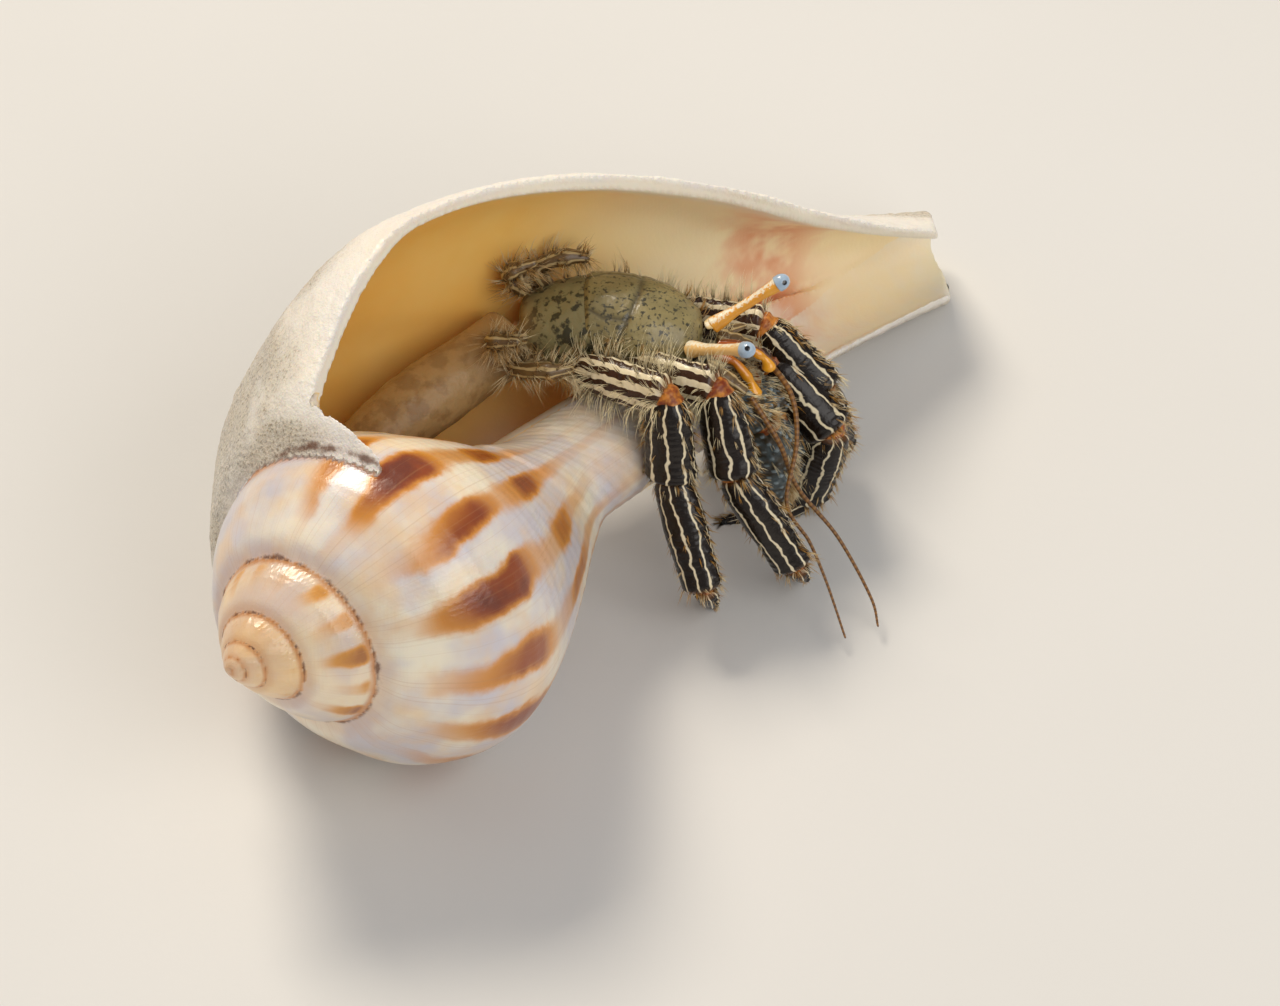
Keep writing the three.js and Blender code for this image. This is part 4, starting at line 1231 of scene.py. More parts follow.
# %% Tubercled chitin
tubercled, add, shader, at = new_finish("chitin_tubercled")
bead = add("Attribute", {"attribute_name": "bead"}, out="Fac")
patch = add("TexNoise", Vector=at, **cloud(1.8))
fine = add("TexNoise", Vector=at, **cloud(0.4, 4.0))
under = add("Mix", COLOURS, i0=fine, i6="#1c160d", i7="#463a20")
cold = add("MapRange", SMOOTH, Value=patch, From_Min=0.42, From_Max=0.6)
under = add("Mix", COLOURS, i0=cold, i6=under, i7="#4d5a5e")
bead_tone = add("Mix", COLOURS, i0=patch, i6="#75878f", i7="#b0c2ca")
bead_mask = add("MapRange", SMOOTH, Value=bead, From_Min=0.25, From_Max=0.75, To_Max=0.8)
claw_colour = add("Mix", COLOURS, i0=bead_mask, i6=under, i7=bead_tone)
claw_rough = add("MapRange", Value=fine, To_Min=0.28, To_Max=0.5)
complete(add, shader, claw_colour, claw_rough, fine, 0.06, IOR=1.55, Coat_Weight=0.3,
         Coat_Roughness=0.15)

# %% [markdown]
# With both finishes made, each limb becomes one mesh. The tips of the legs are pressed flat where
# they stand on the floor.

# %% Make the limbs
limbs = {}
for name, parts in limb_parts.items():
    hard = striped if name.startswith("leg") else tubercled
    limbs[name] = assemble(name + "_chitin", parts, [hard, joint_skin])
    move_points(limbs[name], keep_above(points_of(limbs[name]), 0.0))
print("limb points:", sum(len(obj.data.vertices) for obj in limbs.values()))

# %% [markdown]
# ## The soft body
# The trunk and the long soft abdomen have one unbroken skin, so they are joined and remeshed as
# one body. The abdomen has no armour: it bends to the spiral of the shell, which is its armour.
# Only its start can be seen from outside, through the aperture.

# %% Trunk and abdomen
FACE, TRUNK_REAR = np.array((10.3, 5.6, 22)), np.array((-6.4, 7.8, 21))
TRUNK_LINE = smooth_curve([FACE, TRUNK_MIDDLE, TRUNK_REAR], 60)
TRUNK_WIDTH = smooth_curve([(0, 3.6), (0.1, 6.6), (0.3, 9.2), (0.7, 9.4), (1, 6.8)], 60)
TRUNK_HEIGHT = 0.86  # of its width
TRUNK_SIDE, TRUNK_ROUNDING = np.array((-0.05, -1.0, 0.0)), 1.2
ABDOMEN_TURNS, ABDOMEN_TURN_STEP = (-36, -190), 38.5
ABDOMEN_RADIUS, ABDOMEN_DISTANCE = 0.15, 0.43  # shares of the shell's size at that turn
ABDOMEN_SIZE = smooth_curve([(0, 3.1), (0.25, 3.4), (0.6, 3.0), (0.9, 2.1), (1, 1.2)], 60)
SEGMENTS = 9


def trunk_tube(grow):
    """The trunk from face to rear."""
    half = along(TRUNK_WIDTH, np.linspace(0, 1, len(TRUNK_LINE))) / 2 + grow
    return tube(TRUNK_LINE, TRUNK_SIDE, half, half * TRUNK_HEIGHT, 72, TRUNK_ROUNDING)


def abdomen_tube():
    """The abdomen, from the trunk's rear along the spiral of the shell."""
    stops = [TRUNK_REAR]
    for stop in np.arange(ABDOMEN_TURNS[0], ABDOMEN_TURNS[1] - 1, -ABDOMEN_TURN_STEP):
        whorl_size = growth(stop - SUTURE_TURN) * SHELL_LENGTH
        stops.append(shell_point(ABDOMEN_RADIUS * whorl_size, ABDOMEN_DISTANCE * whorl_size, stop))
    line = smooth_curve(stops, 90)
    s = np.linspace(0, 1, len(line))
    half = along(ABDOMEN_SIZE, s) * (1 + 0.02 * np.cos(s * 2 * math.pi * SEGMENTS))
    return tube(line, SHELL_AXIS, half, half, 56, 1.0)


body = assemble("body_skin", [trunk_tube(-0.12)], [])
join_or_cut(body, [assemble("abdomen", [abdomen_tube()], [])], "UNION")
print("soft body:", len(body.data.polygons), "faces")

# %% [markdown]
# The joined body gets one even skin, as the shell did, and then fine wrinkles. How far a point
# lies behind the trunk is noted too, because trunk and abdomen differ in colour.

# %% One skin for the soft body
even_skin(body, 0.25, 10)
points = points_of(body)
wrinkle = soft_noise(points * (1, 1, 1.6), 1.4, seed=91) + 0.5 * soft_noise(points, 0.6, seed=92)
move_points(body, points + normals_of(body) * 0.07 * wrinkle[:, None])
behind = (points - TRUNK_REAR) @ unit(TRUNK_REAR - TRUNK_MIDDLE)
note(body, behind=smoothstep(behind, -3.0, 1.5))
print("body skin:", len(points), "points")

# %% [markdown]
# ### Soft skin
# Soft skin is matt to satin, grey-tan on the trunk with olive freckles, and a warm translucent
# orange-brown on the abdomen, where the blood spaces show as darker veins.

# %% Soft skin
soft_skin, add, shader, at = new_finish("soft_cuticle")
fine = add("TexNoise", Vector=at, **cloud(0.5, 4.0))
freckle = add("TexNoise", Vector=at, **cloud(0.8))
freckle = add("MapRange", SMOOTH, Value=freckle, From_Min=0.5, From_Max=0.62)
trunk_tone = add("Mix", COLOURS, i0=freckle, i6="#8c8259", i7="#3f3b26")
veins = add("TexNoise", Vector=at, **cloud(1.8, 5.0))
veins = add("MapRange", SMOOTH, Value=veins, From_Min=0.45, From_Max=0.6)
abdomen_tone = add("Mix", COLOURS, i0=veins, i6="#ab8a5b", i7="#97764b")
rear_share = add("Attribute", {"attribute_name": "behind"}, out="Fac")
tone = add("Mix", COLOURS, i0=rear_share, i6=trunk_tone, i7=abdomen_tone)
complete(add, shader, tone, 0.42, fine, 0.08, IOR=1.45, Subsurface_Weight=0.12,
         Subsurface_Scale=0.001)
coat(body, soft_skin)

# %% [markdown]
# ## The shield
# The front of the carapace is a hard plate in the form of a shield, with a groove across it, one
# along each side behind that, and a rounded rear edge. It is made as a real plate with thickness,
# laid over the trunk's skin: one grid of points a little over the skin, and one under it.

# %% The trunk's upper surface
SHIELD_START, SHIELD_END = 0.012, 0.62  # shares of the way from the face to the trunk's rear
SHIELD_ROWS, SHIELD_COLUMNS = 90, 80
TRUNK_LENGTH = 17.5
back = np.linspace(SHIELD_START, SHIELD_END, SHIELD_ROWS)[:, None]
sweep = np.linspace(-1, 1, SHIELD_COLUMNS)[None, :]  # from one edge to the other
# The plate narrows to its face, and its rear corners are rounded off.
reach_side = 82 - 26 * smoothstep(back, 0.5, 0.62) - 30 * smoothstep(back, 0.12, 0.0)
angle = np.radians(90 + sweep * reach_side)
row_at = back * (len(TRUNK_LINE) - 1) + 0 * sweep
low = np.clip(row_at.astype(int), 0, len(TRUNK_LINE) - 2)
part_way = (row_at - low)[..., None]


def trunk_surface(grow):
    """Points over the top of the trunk, a little outside or inside its surface."""
    s = np.linspace(0, 1, len(TRUNK_LINE))
    tangent = unit(np.gradient(TRUNK_LINE, axis=0))
    flat = unit(TRUNK_SIDE - (tangent @ TRUNK_SIDE)[:, None] * tangent)
    upright = np.cross(flat, tangent)
    upright = upright * np.sign(upright[:, 2:3])
    half = along(TRUNK_WIDTH, s) / 2 * rounded(np.minimum(s, 1 - s) * TRUNK_LENGTH / TRUNK_ROUNDING)
    centre, flat, upright, half = (
        np.take(v, low, 0) * (1 - part_way) + np.take(v, low + 1, 0) * part_way
        for v in (TRUNK_LINE, flat, upright, half[:, None]))
    cosine, sine = np.cos(angle)[..., None], np.sin(angle)[..., None]
    return centre + flat * cosine * (half + grow) + upright * sine * (half * TRUNK_HEIGHT + grow)


plate_place = trunk_surface(0.0)
print("shield from", plate_place.min((0, 1)).round(1), "to", plate_place.max((0, 1)).round(1), "mm")

# %% [markdown]
# The plate is lifted off the skin by a height that the grooves sink and the pimples roughen, and
# its edges dip under the skin, so that no gap shows.

# %% Shield plate
groove = np.exp(-(((back - 0.36 - 0.1 * sweep**2) / 0.018) ** 2))
side_groove = np.exp(-(((np.abs(sweep) - 0.42) / 0.035) ** 2)) * smoothstep(back, 0.36, 0.42)
pimples = soft_noise(plate_place, 0.7, seed=31) + 0.5 * soft_noise(plate_place, 0.35, seed=32)
uneven = soft_noise(plate_place, 2.4, seed=33)
lift = 0.14 - 0.16 * groove - 0.1 * side_groove + 0.045 * pimples + 0.09 * uneven
edge = smoothstep(np.abs(sweep), 1.0, 0.93) * smoothstep(back, SHIELD_END, SHIELD_END - 0.025)
height = lift * edge - 0.1 * (1 - edge)
outer = plate_place + (trunk_surface(1.0) - plate_place) * height[..., None]
shield = block("carapace_shield_plate", outer, trunk_surface(-0.5))
note(shield, groove=np.concatenate([(groove + side_groove).ravel()] * 2))
print("shield height from", height.min().round(2), "to", height.max().round(2), "mm")

# %% [markdown]
# ### Mottled chitin: the shield
# Olive-grey, with darker freckles, and dark along the grooves, where dirt and shade collect.

# %% Mottled chitin
mottled, add, shader, at = new_finish("chitin_mottled")
fine = add("TexNoise", Vector=at, **cloud(0.35, 4.0))
ground = add("TexNoise", Vector=at, **cloud(2.4))
ground = add("Mix", COLOURS, i0=ground, i6="#6c6139", i7="#a39462")
spots = add("TexNoise", Vector=at, **cloud(0.42, 2.0))
spots = add("MapRange", SMOOTH, Value=spots, From_Min=0.53, From_Max=0.66)
ground = add("Mix", COLOURS, i0=spots, i6=ground, i7="#3b3722")
sunk = add("Attribute", {"attribute_name": "groove"}, out="Fac")
sunk = add("Math", TIMES, i0=sunk, i1=0.7)
ground = add("Mix", COLOURS, i0=sunk, i6=ground, i7="#3a3320")
plate_rough = add("MapRange", Value=fine, To_Min=0.28, To_Max=0.48)
complete(add, shader, ground, plate_rough, fine, 0.06, IOR=1.55, Coat_Weight=0.3,
         Coat_Roughness=0.15)
coat(shield, mottled)

# %% [markdown]
# ## Eyes
# Each eye stands on a slim stalk, waisted in the middle, with a small pointed scale over its foot.
# Stalks are tubes as the legs are, but round, with their widths in one table. One of the two is
# paler than the other.

# %% Eyestalks and the scales at their feet
# Root, turn, rise and length of each stalk, and how faded it is.
EYESTALKS = {
    "right": ((9.1, 3.9, 23), -38, 33, 7.8, 0.55),
    "left": ((11.1, 6.7, 23), 17, 30, 7.6, 0.0),
}
STALK_RADIUS = smooth_curve(
    [(0, 0.84), (0.12, 0.74), (0.35, 0.53), (0.7, 0.52), (0.9, 0.64), (1, 0.7)], 60)
SCALE_SWELL = [(0, 0.6), (0.3, 1.0), (0.65, 0.7), (1, 0.08)]
FOOT_RISE, FOOT_BACK, FOOT_LENGTH, FOOT_FADED = 0.62, 0.7, 2.3, 0.9


def level_across(way):
    """A level direction at right angles to another."""
    return unit(np.cross((0, 0, 1), way))


def scale(root, way, length, half_across, half_up):
    """A flat scale that narrows to a point."""
    t = even_ends(24)
    swell = along(SCALE_SWELL, t)
    line = root + way * (length * t[:, None])
    return tube(line, level_across(way), half_across * swell, half_up * swell, 24, 0.15)


def eyestalk(root, way, length):
    """A round stalk with a slightly uneven skin."""
    t = even_ends(70)
    radius = along(STALK_RADIUS, t)
    made = tube(root + way * (length * t[:, None]), level_across(way), radius, radius, 40, 0.3)
    return swell_out(made, 0.03 * soft_noise(made["rings"], 0.8, seed=41))


stalk_parts = {}
for side, (root, turn_way, rise, length, faded) in EYESTALKS.items():
    way = heading(turn_way, rise)
    stalk = eyestalk(np.array(root), way, length)
    foot_root = np.array(root) + (0, 0, FOOT_RISE) - way * FOOT_BACK
    foot = scale(foot_root, heading(turn_way, rise * 0.5), FOOT_LENGTH, 0.72, 0.3)
    stalk_parts[side] = [noted_as(stalk, faded=faded), noted_as(foot, faded=FOOT_FADED)]
print("stalks:", {side: entry[3] for side, entry in EYESTALKS.items()}, "mm long")

# %% [markdown]
# The cornea sits on the end of the stalk as a thimble does on a finger. It has one dark spot. The
# spot could be a small disc, but then it would show an edge. It is noted on the mesh as nearness
# to the way that the eye looks, so it stays on the eye from every side.

# %% Corneas
CORNEA_RADIUS, CORNEA_LENGTH, CORNEA_OVERLAP = 0.77, 0.92, 0.45
STRAIGHT_SHARE = 0.32  # of the cornea, before it starts to round off
LOOKS = {"right": unit(np.array((0.1, -0.55, 0.83))), "left": unit(np.array((0.5, -0.6, 0.62)))}


def cornea_dome(root, way, length, looks):
    """A dome over the end of a stalk, which notes how nearly each point faces where it looks."""
    t = np.linspace(0.0, 1.0, 34)
    line = root + way * (length - CORNEA_OVERLAP + t[:, None] * (CORNEA_LENGTH + CORNEA_OVERLAP))
    bend = np.clip((t - STRAIGHT_SHARE) / (1 - STRAIGHT_SHARE), 0, 1)
    radius = CORNEA_RADIUS * np.sqrt(np.clip(1 - bend**2, 0.004, 1))
    made = tube(line, level_across(way), radius, radius, 44, 0.12)
    made["notes"]["looking"] = unit(made["rings"] - (root + way * (length - 0.05))) @ looks
    return made


corneas = {
    side: cornea_dome(np.array(root), heading(turn_way, rise), length, LOOKS[side])
    for side, (root, turn_way, rise, length, _) in EYESTALKS.items()
}
print("a cornea is", 2 * CORNEA_RADIUS, "mm across")

# %% [markdown]
# ### Stalk skin
# The stalks are thin chitin over orange-yellow flesh, a little glossy, with a pale freckled line
# along the top and a browner one below. Top and bottom are told apart by the sine of the ring.

# %% Stalk skin
stalk_skin, add, shader, at = new_finish("stalk_cuticle_orange")
up = add("Attribute", {"attribute_name": "ring_y"}, out="Fac")
up = add("Math", TIMES, i0=up, i1=-1.0)
speck = add("TexNoise", Vector=at, **cloud(0.28, 2.0))
tone = add("TexNoise", Vector=at, **cloud(1.4))
tone = add("Mix", COLOURS, i0=tone, i6="#dd8a1c", i7="#efb440")
faded = add("Attribute", {"attribute_name": "faded"}, out="Fac")
top = add("Math", TIMES_PLUS, i0=speck, i1=1.1, i2=up)
top = add("MapRange", SMOOTH, Value=top, From_Min=1.3, From_Max=1.6)
under_line = add("MapRange", SMOOTH, Value=up, From_Min=-0.75, From_Max=-0.98)
for shown, colour in ((faded, "#f3d9a0"), (top, "#f2ead2"), (under_line, "#b06a20")):
    tone = add("Mix", COLOURS, i0=shown, i6=tone, i7=colour)
complete(add, shader, tone, 0.3, speck, 0.03, IOR=1.5, Coat_Weight=0.3, Coat_Roughness=0.1)

# %% [markdown]
# ### Cornea
# The cornea is clear, hard chitin over a bed of facets, pale blue here and very glossy. Facets are
# about 0.03 mm across on the animal, too fine to see, and are drawn 0.09 mm across.

# %% Cornea
FACET_MM = 0.09

cornea_glass, add, shader, at = new_finish("cornea_pale_blue")
looking = add("Attribute", {"attribute_name": "looking"}, out="Fac")
spot = add("MapRange", SMOOTH, Value=looking, From_Min=0.94, From_Max=0.975)
tone = add("TexNoise", Vector=at, **cloud(0.6))
tone = add("Mix", COLOURS, i0=tone, i6="#8ea9c4", i7="#b9cbdb")
tone = add("Mix", COLOURS, i0=spot, i6=tone, i7="#0b0b10")
facets = add("TexVoronoi", Vector=at, Scale=1 / (FACET_MM * MM))
complete(add, shader, tone, 0.08, facets, 0.006, IOR=1.5, Coat_Weight=0.6, Coat_Roughness=0.03)

# %% [markdown]
# A stalk and the scale at its foot share one mesh, and the cornea has its own.

# %% Make the eyes
eye_pieces = {}
for side in EYESTALKS:
    eye_pieces["eyestalk_" + side] = assemble(
        "eyestalk_cuticle_" + side, stalk_parts[side], [stalk_skin])
    eye_pieces["eye_" + side] = assemble("eye_cornea_" + side, [corneas[side]], [cornea_glass])
print("eye pieces:", list(eye_pieces))

# %% [markdown]
# ## Feelers, mouth legs and small legs
# A feeler's whip is a stack of tiny rings, each with a dark half and a pale half. The short inner
# feelers have a knob near the end. The last two pairs of legs are small, rough at the tip, and
# hold the crab in its shell. All are rods through a few points, because they bend in curves that
# headings can't give, and the waists in their tables of widths stand for their joints.

# %% Rods
FEELERS = {
    "antennule_right": [(11.1, 4.4, 21.9), (13.2, 4.2, 21), (14.7, 3.4, 19.2), (15.2, 2.7, 17.6)],
    "antennule_left": [(11.6, 5.3, 22.2), (14.1, 5.1, 22), (15.9, 4.8, 20.9), (16.6, 4.5, 19.5)],
    "antenna_right_base": [(10.4, 3.1, 21.6), (12.3, 2.2, 21), (14.3, 1.3, 19.9)],
    "antenna_left_base": [(11.6, 7.1, 21.2), (13.1, 6.8, 21), (14.9, 6.5, 20.5)],
    "antenna_right": [(14.7, 1.1, 19.6), (17.3, -1.2, 15.9), (19, -2.2, 11), (22.7, -4.2, 6.5),
                      (25.7, -8.4, 3), (26.4, -10.8, 1.5)],
    "antenna_left": [(15.3, 6.4, 20.4), (18.3, 2.6, 18.6), (18.9, -0.7, 15.5), (18, -4.4, 11.3),
                     (20.1, -6.2, 8), (21.7, -8.4, 4.8), (23.4, -12.2, 1.5)],
}
SMALL_LIMBS = {
    "mouth_leg_right": [(11.2, 4.9, 19.7), (13.4, 4.6, 19.7), (14.7, 4.5, 18.1)],
    "mouth_leg_left": [(11.5, 6.2, 19.8), (13.5, 6.1, 19.5), (14.9, 6, 18.1)],
    "leg_4_right": [(-4.3, 3.6, 21.9), (-6.7, 1.3, 23.2), (-3.5, -0.1, 24.4), (-1.3, 0.3, 24.4)],
    "leg_5_right": [(-5.9, 4.7, 23.6), (-8.7, 2.8, 25.2), (-6.1, 1.8, 26.2)],
    "leg_4_left": [(-3.7, 11.4, 22.8), (-4.7, 12, 25.2), (-1.9, 12.4, 26.2), (0.1, 12.3, 26)],
    "leg_5_left": [(-5.7, 10.2, 24), (-7.3, 10.2, 26.2), (-4.7, 10.6, 27.4)],
}
# Steps along, sides round and widths of each kind of rod.
ROD_KINDS = {
    "antennule": (80, 32, [(0, 0.42), (0.24, 0.5), (0.32, 0.34), (0.4, 0.42), (0.58, 0.5), (0.66, 0.34),
                           (0.88, 0.74), (1, 0.5)]),
    "antenna_base": (80, 32, [(0, 0.85), (0.3, 0.95), (0.36, 0.78), (0.66, 0.84), (0.72, 0.62),
                              (1, 0.6)]),
    "antenna": (420, 14, [(0, 0.3), (0.3, 0.22), (1, 0.1)]),
    "mouth_leg": (80, 32, [(0, 0.6), (0.28, 0.66), (0.34, 0.5), (0.62, 0.6), (0.68, 0.45), (1, 0.3)]),
    "leg": (90, 32, [(0, 0.8), (0.3, 0.9), (0.36, 0.66), (0.66, 0.88), (0.72, 0.7), (1, 0.4)]),
}
RING_PITCH = 0.26  # millimetres between the rings of a whip


def rod(name, points):
    """A jointed rod or a ringed whip through its points."""
    is_base = name.endswith("_base")
    kind = "antenna_base" if is_base else next(k for k in ROD_KINDS if name.startswith(k))
    steps, sides, widths = ROD_KINDS[kind]
    line = smooth_curve(points, steps)
    first = np.array(points, float)
    across = unit(np.cross(first[1] - first[0], first[2] - first[1]))
    radius = along(widths, np.linspace(0, 1, steps + 1))
    if kind == "antenna":
        made = tube(line, across, radius, radius, sides, 0.3)
        ring = np.abs(np.sin(made["notes"]["mm"] * math.pi / RING_PITCH))
        return swell_out(made, 0.02 * (ring - 0.5))
    radius = np.convolve(np.pad(radius, 2, "edge"), np.ones(5) / 5, "valid")
    made = tube(line, across, radius, radius, sides, 0.3)
    return swell_out(made, 0.05 * soft_noise(made["rings"], 0.7, seed=len(name)))


rods = {name: rod(name, points) for name, points in {**FEELERS, **SMALL_LIMBS}.items()}
print("a whip's length:", rods["antenna_right"]["notes"]["mm"].max().round(1), "mm")

# %% [markdown]
# ### Ringed whip
# The whips are thin amber-brown chitin. The dark and pale rings are a wave along their length.

# %% Ringed whip
whip, add, shader, at = new_finish("chitin_ringed_whip")
along_mm = add("Attribute", {"attribute_name": "mm"}, out="Fac")
ring = add("Math", TIMES, i0=along_mm, i1=math.pi / RING_PITCH)
ring = add("Math", COSINE, i0=ring)
ring = add("MapRange", SMOOTH, Value=ring, From_Min=-0.4, From_Max=0.5)
tone = add("Mix", COLOURS, i0=ring, i6="#6a4520", i7="#8f6430")
uneven = add("TexNoise", Vector=at, **cloud(0.3))
complete(add, shader, tone, 0.35, uneven, 0.02, IOR=1.5)

# %% [markdown]
# ### Glossy orange chitin: the inner feelers
# The inner feelers are clear orange, brighter towards the tip, and as glossy as lacquer. Two
# opposite faces are painted dark brown, so that the bright orange sides between them stand out as
# painted highlights along the rims.

# %% Glossy orange chitin
orange, add, shader, at = new_finish("chitin_glossy_orange")
reach_along = add("Attribute", {"attribute_name": "along"}, out="Fac")
tone = add("MapRange", SMOOTH, Value=reach_along, From_Min=0.1, From_Max=0.9)
tone = add("Mix", COLOURS, i0=tone, i6="#a8500f", i7="#f6ab24")
# Painted highlights: two opposite faces are painted dark brown, which leaves the orange sides as lit
# rims.
core = add("Attribute", {"attribute_name": "ring_x"}, out="Fac")
core = add("Math", SIZE_OF, i0=core)
cloudy = add("TexNoise", Vector=at, **cloud(0.7))
core = add("Math", TIMES_PLUS, i0=cloudy, i1=0.3, i2=core)
core = add("MapRange", SMOOTH, Value=core, From_Min=0.62, From_Max=0.3)
tone = add("Mix", COLOURS, i0=core, i6=tone, i7="#6a3109")
uneven = add("TexNoise", Vector=at, **cloud(0.5))
complete(add, shader, tone, 0.15, uneven, 0.03, IOR=1.5, Coat_Weight=0.7, Coat_Roughness=0.05)

# %% [markdown]
# ### Brindled chitin: the small legs
# The small legs, mouth legs and feeler bases are brown, with six tan streaks lengthwise. The wave
# that made the thin stripes of the walking legs makes these too.

# %% Brindled chitin
brindled, add, shader, at = new_finish("chitin_brindled")
streak = stripe_wave(add, at, 6)
streak = add("MapRange", SMOOTH, Value=streak, From_Min=0.3, From_Max=0.8)
tone = add("TexNoise", Vector=at, **cloud(0.8))
tone = add("Mix", COLOURS, i0=tone, i6="#4a3620", i7="#7d6238")
tone = add("Mix", COLOURS, i0=streak, i6=tone, i7="#b9a272")
uneven = add("TexNoise", Vector=at, **cloud(0.3))
complete(add, shader, tone, 0.36, uneven, 0.05, IOR=1.5, Coat_Weight=0.2, Coat_Roughness=0.15)

# %% [markdown]
# A spiny scale stands beside the foot of each long feeler. It is one more tube in the same mesh.

# %% Make the rods
# Root of each scale and the way that it points, then its length and half sizes.
FEELER_SCALES = {
    "antenna_right_base": ((10.9, 2.3, 21.5), (0.74, -0.66, -0.08)),
    "antenna_left_base": ((12.1, 7.6, 21.3), (0.92, 0.36, 0.02)),
}
FEELER_SCALE_SIZE = (3.0, 0.62, 0.3)
ROD_FINISHES = {"antennule": orange, "antenna_right": whip, "antenna_left": whip}

rod_pieces = {}
for name, made in rods.items():
    finish = ROD_FINISHES.get(name, ROD_FINISHES.get(name.split("_")[0], brindled))
    parts = [made]
    if name in FEELER_SCALES:
        root, way = (np.array(v) for v in FEELER_SCALES[name])
        parts.append(scale(root, unit(way), *FEELER_SCALE_SIZE))
    rod_pieces[name] = assemble(name + "_chitin", parts, [finish])
print("rods:", list(rod_pieces))

# %% [markdown]
# ## Setae
# A crab's bristles, its setae, stand in small tufts that grow from pits in the hard skin. They are
# longest on the edges of the leg pieces and round the joints, cream to yellow-brown, and wet, so
# each tuft draws together to a point. Blender's hair system could grow them, but it doesn't go
# along when a model is handed on as a mesh. So every bristle is a thin three-sided spike, and all
# those of one part of the body are joined in one mesh.

# %% Places on a tube
def at_grid(grid, row, column):
    """The value of a grid of rings at a fractional row and column."""
    rows, columns = grid.shape[:2]
    r = np.clip(row, 0, rows - 1.001)
    r0, c0 = r.astype(int), np.floor(column).astype(int)
    fr, fc = (r - r0)[:, None], (column - c0)[:, None]
    c0, c1 = c0 % columns, (c0 + 1) % columns
    near = grid[r0, c0] * (1 - fc) + grid[r0, c1] * fc
    far = grid[r0 + 1, c0] * (1 - fc) + grid[r0 + 1, c1] * fc
    return near * (1 - fr) + far * fr


whip_rings = rods["antenna_right"]["rings"]
print("the root of a whip:", at_grid(whip_rings, np.zeros(1), np.zeros(1)).round(1), "mm")

# %% [markdown]
# A tuft is a way to point, drawn once, and each of its bristles strays a little from it. Places
# are drawn at random over the tube and kept more often where bristles crowd. The drawing is
# seeded, so every run grows the same coat.

# %% Grow tufts on a tube
DRAWS_A_TUFT = 6  # places drawn for each tuft that is wanted, as many of them aren't kept
ROOT_DEPTH, ROOT_STRAY = 0.06, 0.06  # millimetres
BEND, DROOP_STRAY, DROOP = 0.3, 0.35, 0.25
BRISTLE_RADIUS, SPREAD = 0.035, 0.35


def tufts(part, cell, rng, plan, where=None):
    """Bristles in tufts on one tube.

    cell is the tube's place on the map: corner, then size. plan gives how many tufts there are,
    the bristles in one, their length, how far they lean ahead, and the range of their shades.
    """
    count, hairs, length, lean, pale = plan
    rows, columns = part["rings"].shape[:2]
    drawn = count * DRAWS_A_TUFT
    row, column = rng.uniform(0.04, 0.98, drawn), rng.uniform(0, 1, drawn)
    if where is not None:
        keep = rng.uniform(0, 1, len(row)) < where(row, column)
        row, column = row[keep], column[keep]
    row, column = row[:count], column[:count]
    root = at_grid(part["rings"], row * (rows - 1), column * columns)
    centre = at_grid(part["line"][:, None], row * (rows - 1), 0 * column)
    ahead = at_grid(part["tangent"][:, None], row * (rows - 1), 0 * column)
    out = unit(root - centre)
    tuft_way = unit(out * (1 - lean) + ahead * lean + rng.normal(0, SPREAD * 0.5, out.shape))
    size_mm = length * rng.uniform(0.55, 1.25, len(row))
    shade = rng.uniform(*pale, len(row))
    made = []
    for _ in range(hairs):
        way = unit(tuft_way + rng.normal(0, SPREAD * 0.4, out.shape))
        own = size_mm * rng.uniform(0.6, 1.1, len(row))
        droop = unit(ahead + rng.normal(0, DROOP_STRAY, out.shape) - (0, 0, DROOP))
        made.append({
            "root": root - out * ROOT_DEPTH + rng.normal(0, ROOT_STRAY, out.shape),
            "way": way, "bend": droop * BEND, "length": own,
            "radius": BRISTLE_RADIUS * rng.uniform(0.7, 1.2, len(row)), "shade": shade,
            "u": cell[0] + row * cell[2], "v": cell[1] + column * cell[3],
        })
    return {key: np.concatenate([m[key] for m in made]) for key in made[0]}


trial_plan = (2, 5, 1.0, 0.2, (0, 1))
trial = tufts(rods["leg_4_right"], (0, 0, 1, 1), np.random.default_rng(1), trial_plan)
print("two tufts have", len(trial["length"]), "bristles")

# %% [markdown]
# A map called OFBake unrolls the coat: each tuft has a small patch of its own, at the place of its
# root on the unrolled limb. The finish doesn't read it. It is for whoever bakes the coat.

# %% One mesh of bristles
TUFT_PATCH = 0.003  # of the map, across
BRISTLE_FLOOR = 0.02  # millimetres that bristles stay clear of the floor
SIDE_HINT = (0.31, 0.2, 0.93)  # any way that no bristle points along
# Share of a bristle's length and of its radius at each ring of three points, and at the tip.
STATIONS = ((0.0, 1.0), (0.4, 0.8), (0.75, 0.5), (1.0, 0.0))
POINTS_A_BRISTLE = 10


def bristle_points(g):
    """Three rings of three points for each bristle, and its tip."""
    side = unit(np.cross(g["way"], SIDE_HINT))
    other = np.cross(g["way"], side)
    points = np.zeros((len(side), POINTS_A_BRISTLE, 3))
    for s, (t, share_r) in enumerate(STATIONS):
        centre = g["root"] + (g["way"] * t + g["bend"] * t * t) * g["length"][:, None]
        for j in range(3 if share_r else 1):
            a = 2 * math.pi * j / 3
            offset = (side * math.cos(a) + other * math.sin(a)) * (g["radius"] * share_r)[:, None]
            points[:, 3 * s + j] = centre + offset
    return keep_above(points, BRISTLE_FLOOR)


def bristle_faces(count):
    """Quads between the rings of each bristle, then triangles at its tip and root."""
    quads = [(3 * s + j, 3 * s + (j + 1) % 3, 3 * s + 3 + (j + 1) % 3, 3 * s + 3 + j)
             for s in range(2) for j in range(3)]
    triangles = [(6 + j, 6 + (j + 1) % 3, 9) for j in range(3)] + [(2, 1, 0)]
    base = np.arange(count)[:, None, None] * POINTS_A_BRISTLE
    both = ((base + np.array(faces)).reshape(-1, len(faces[0])) for faces in (quads, triangles))
    return [face for faces in both for face in faces.tolist()]


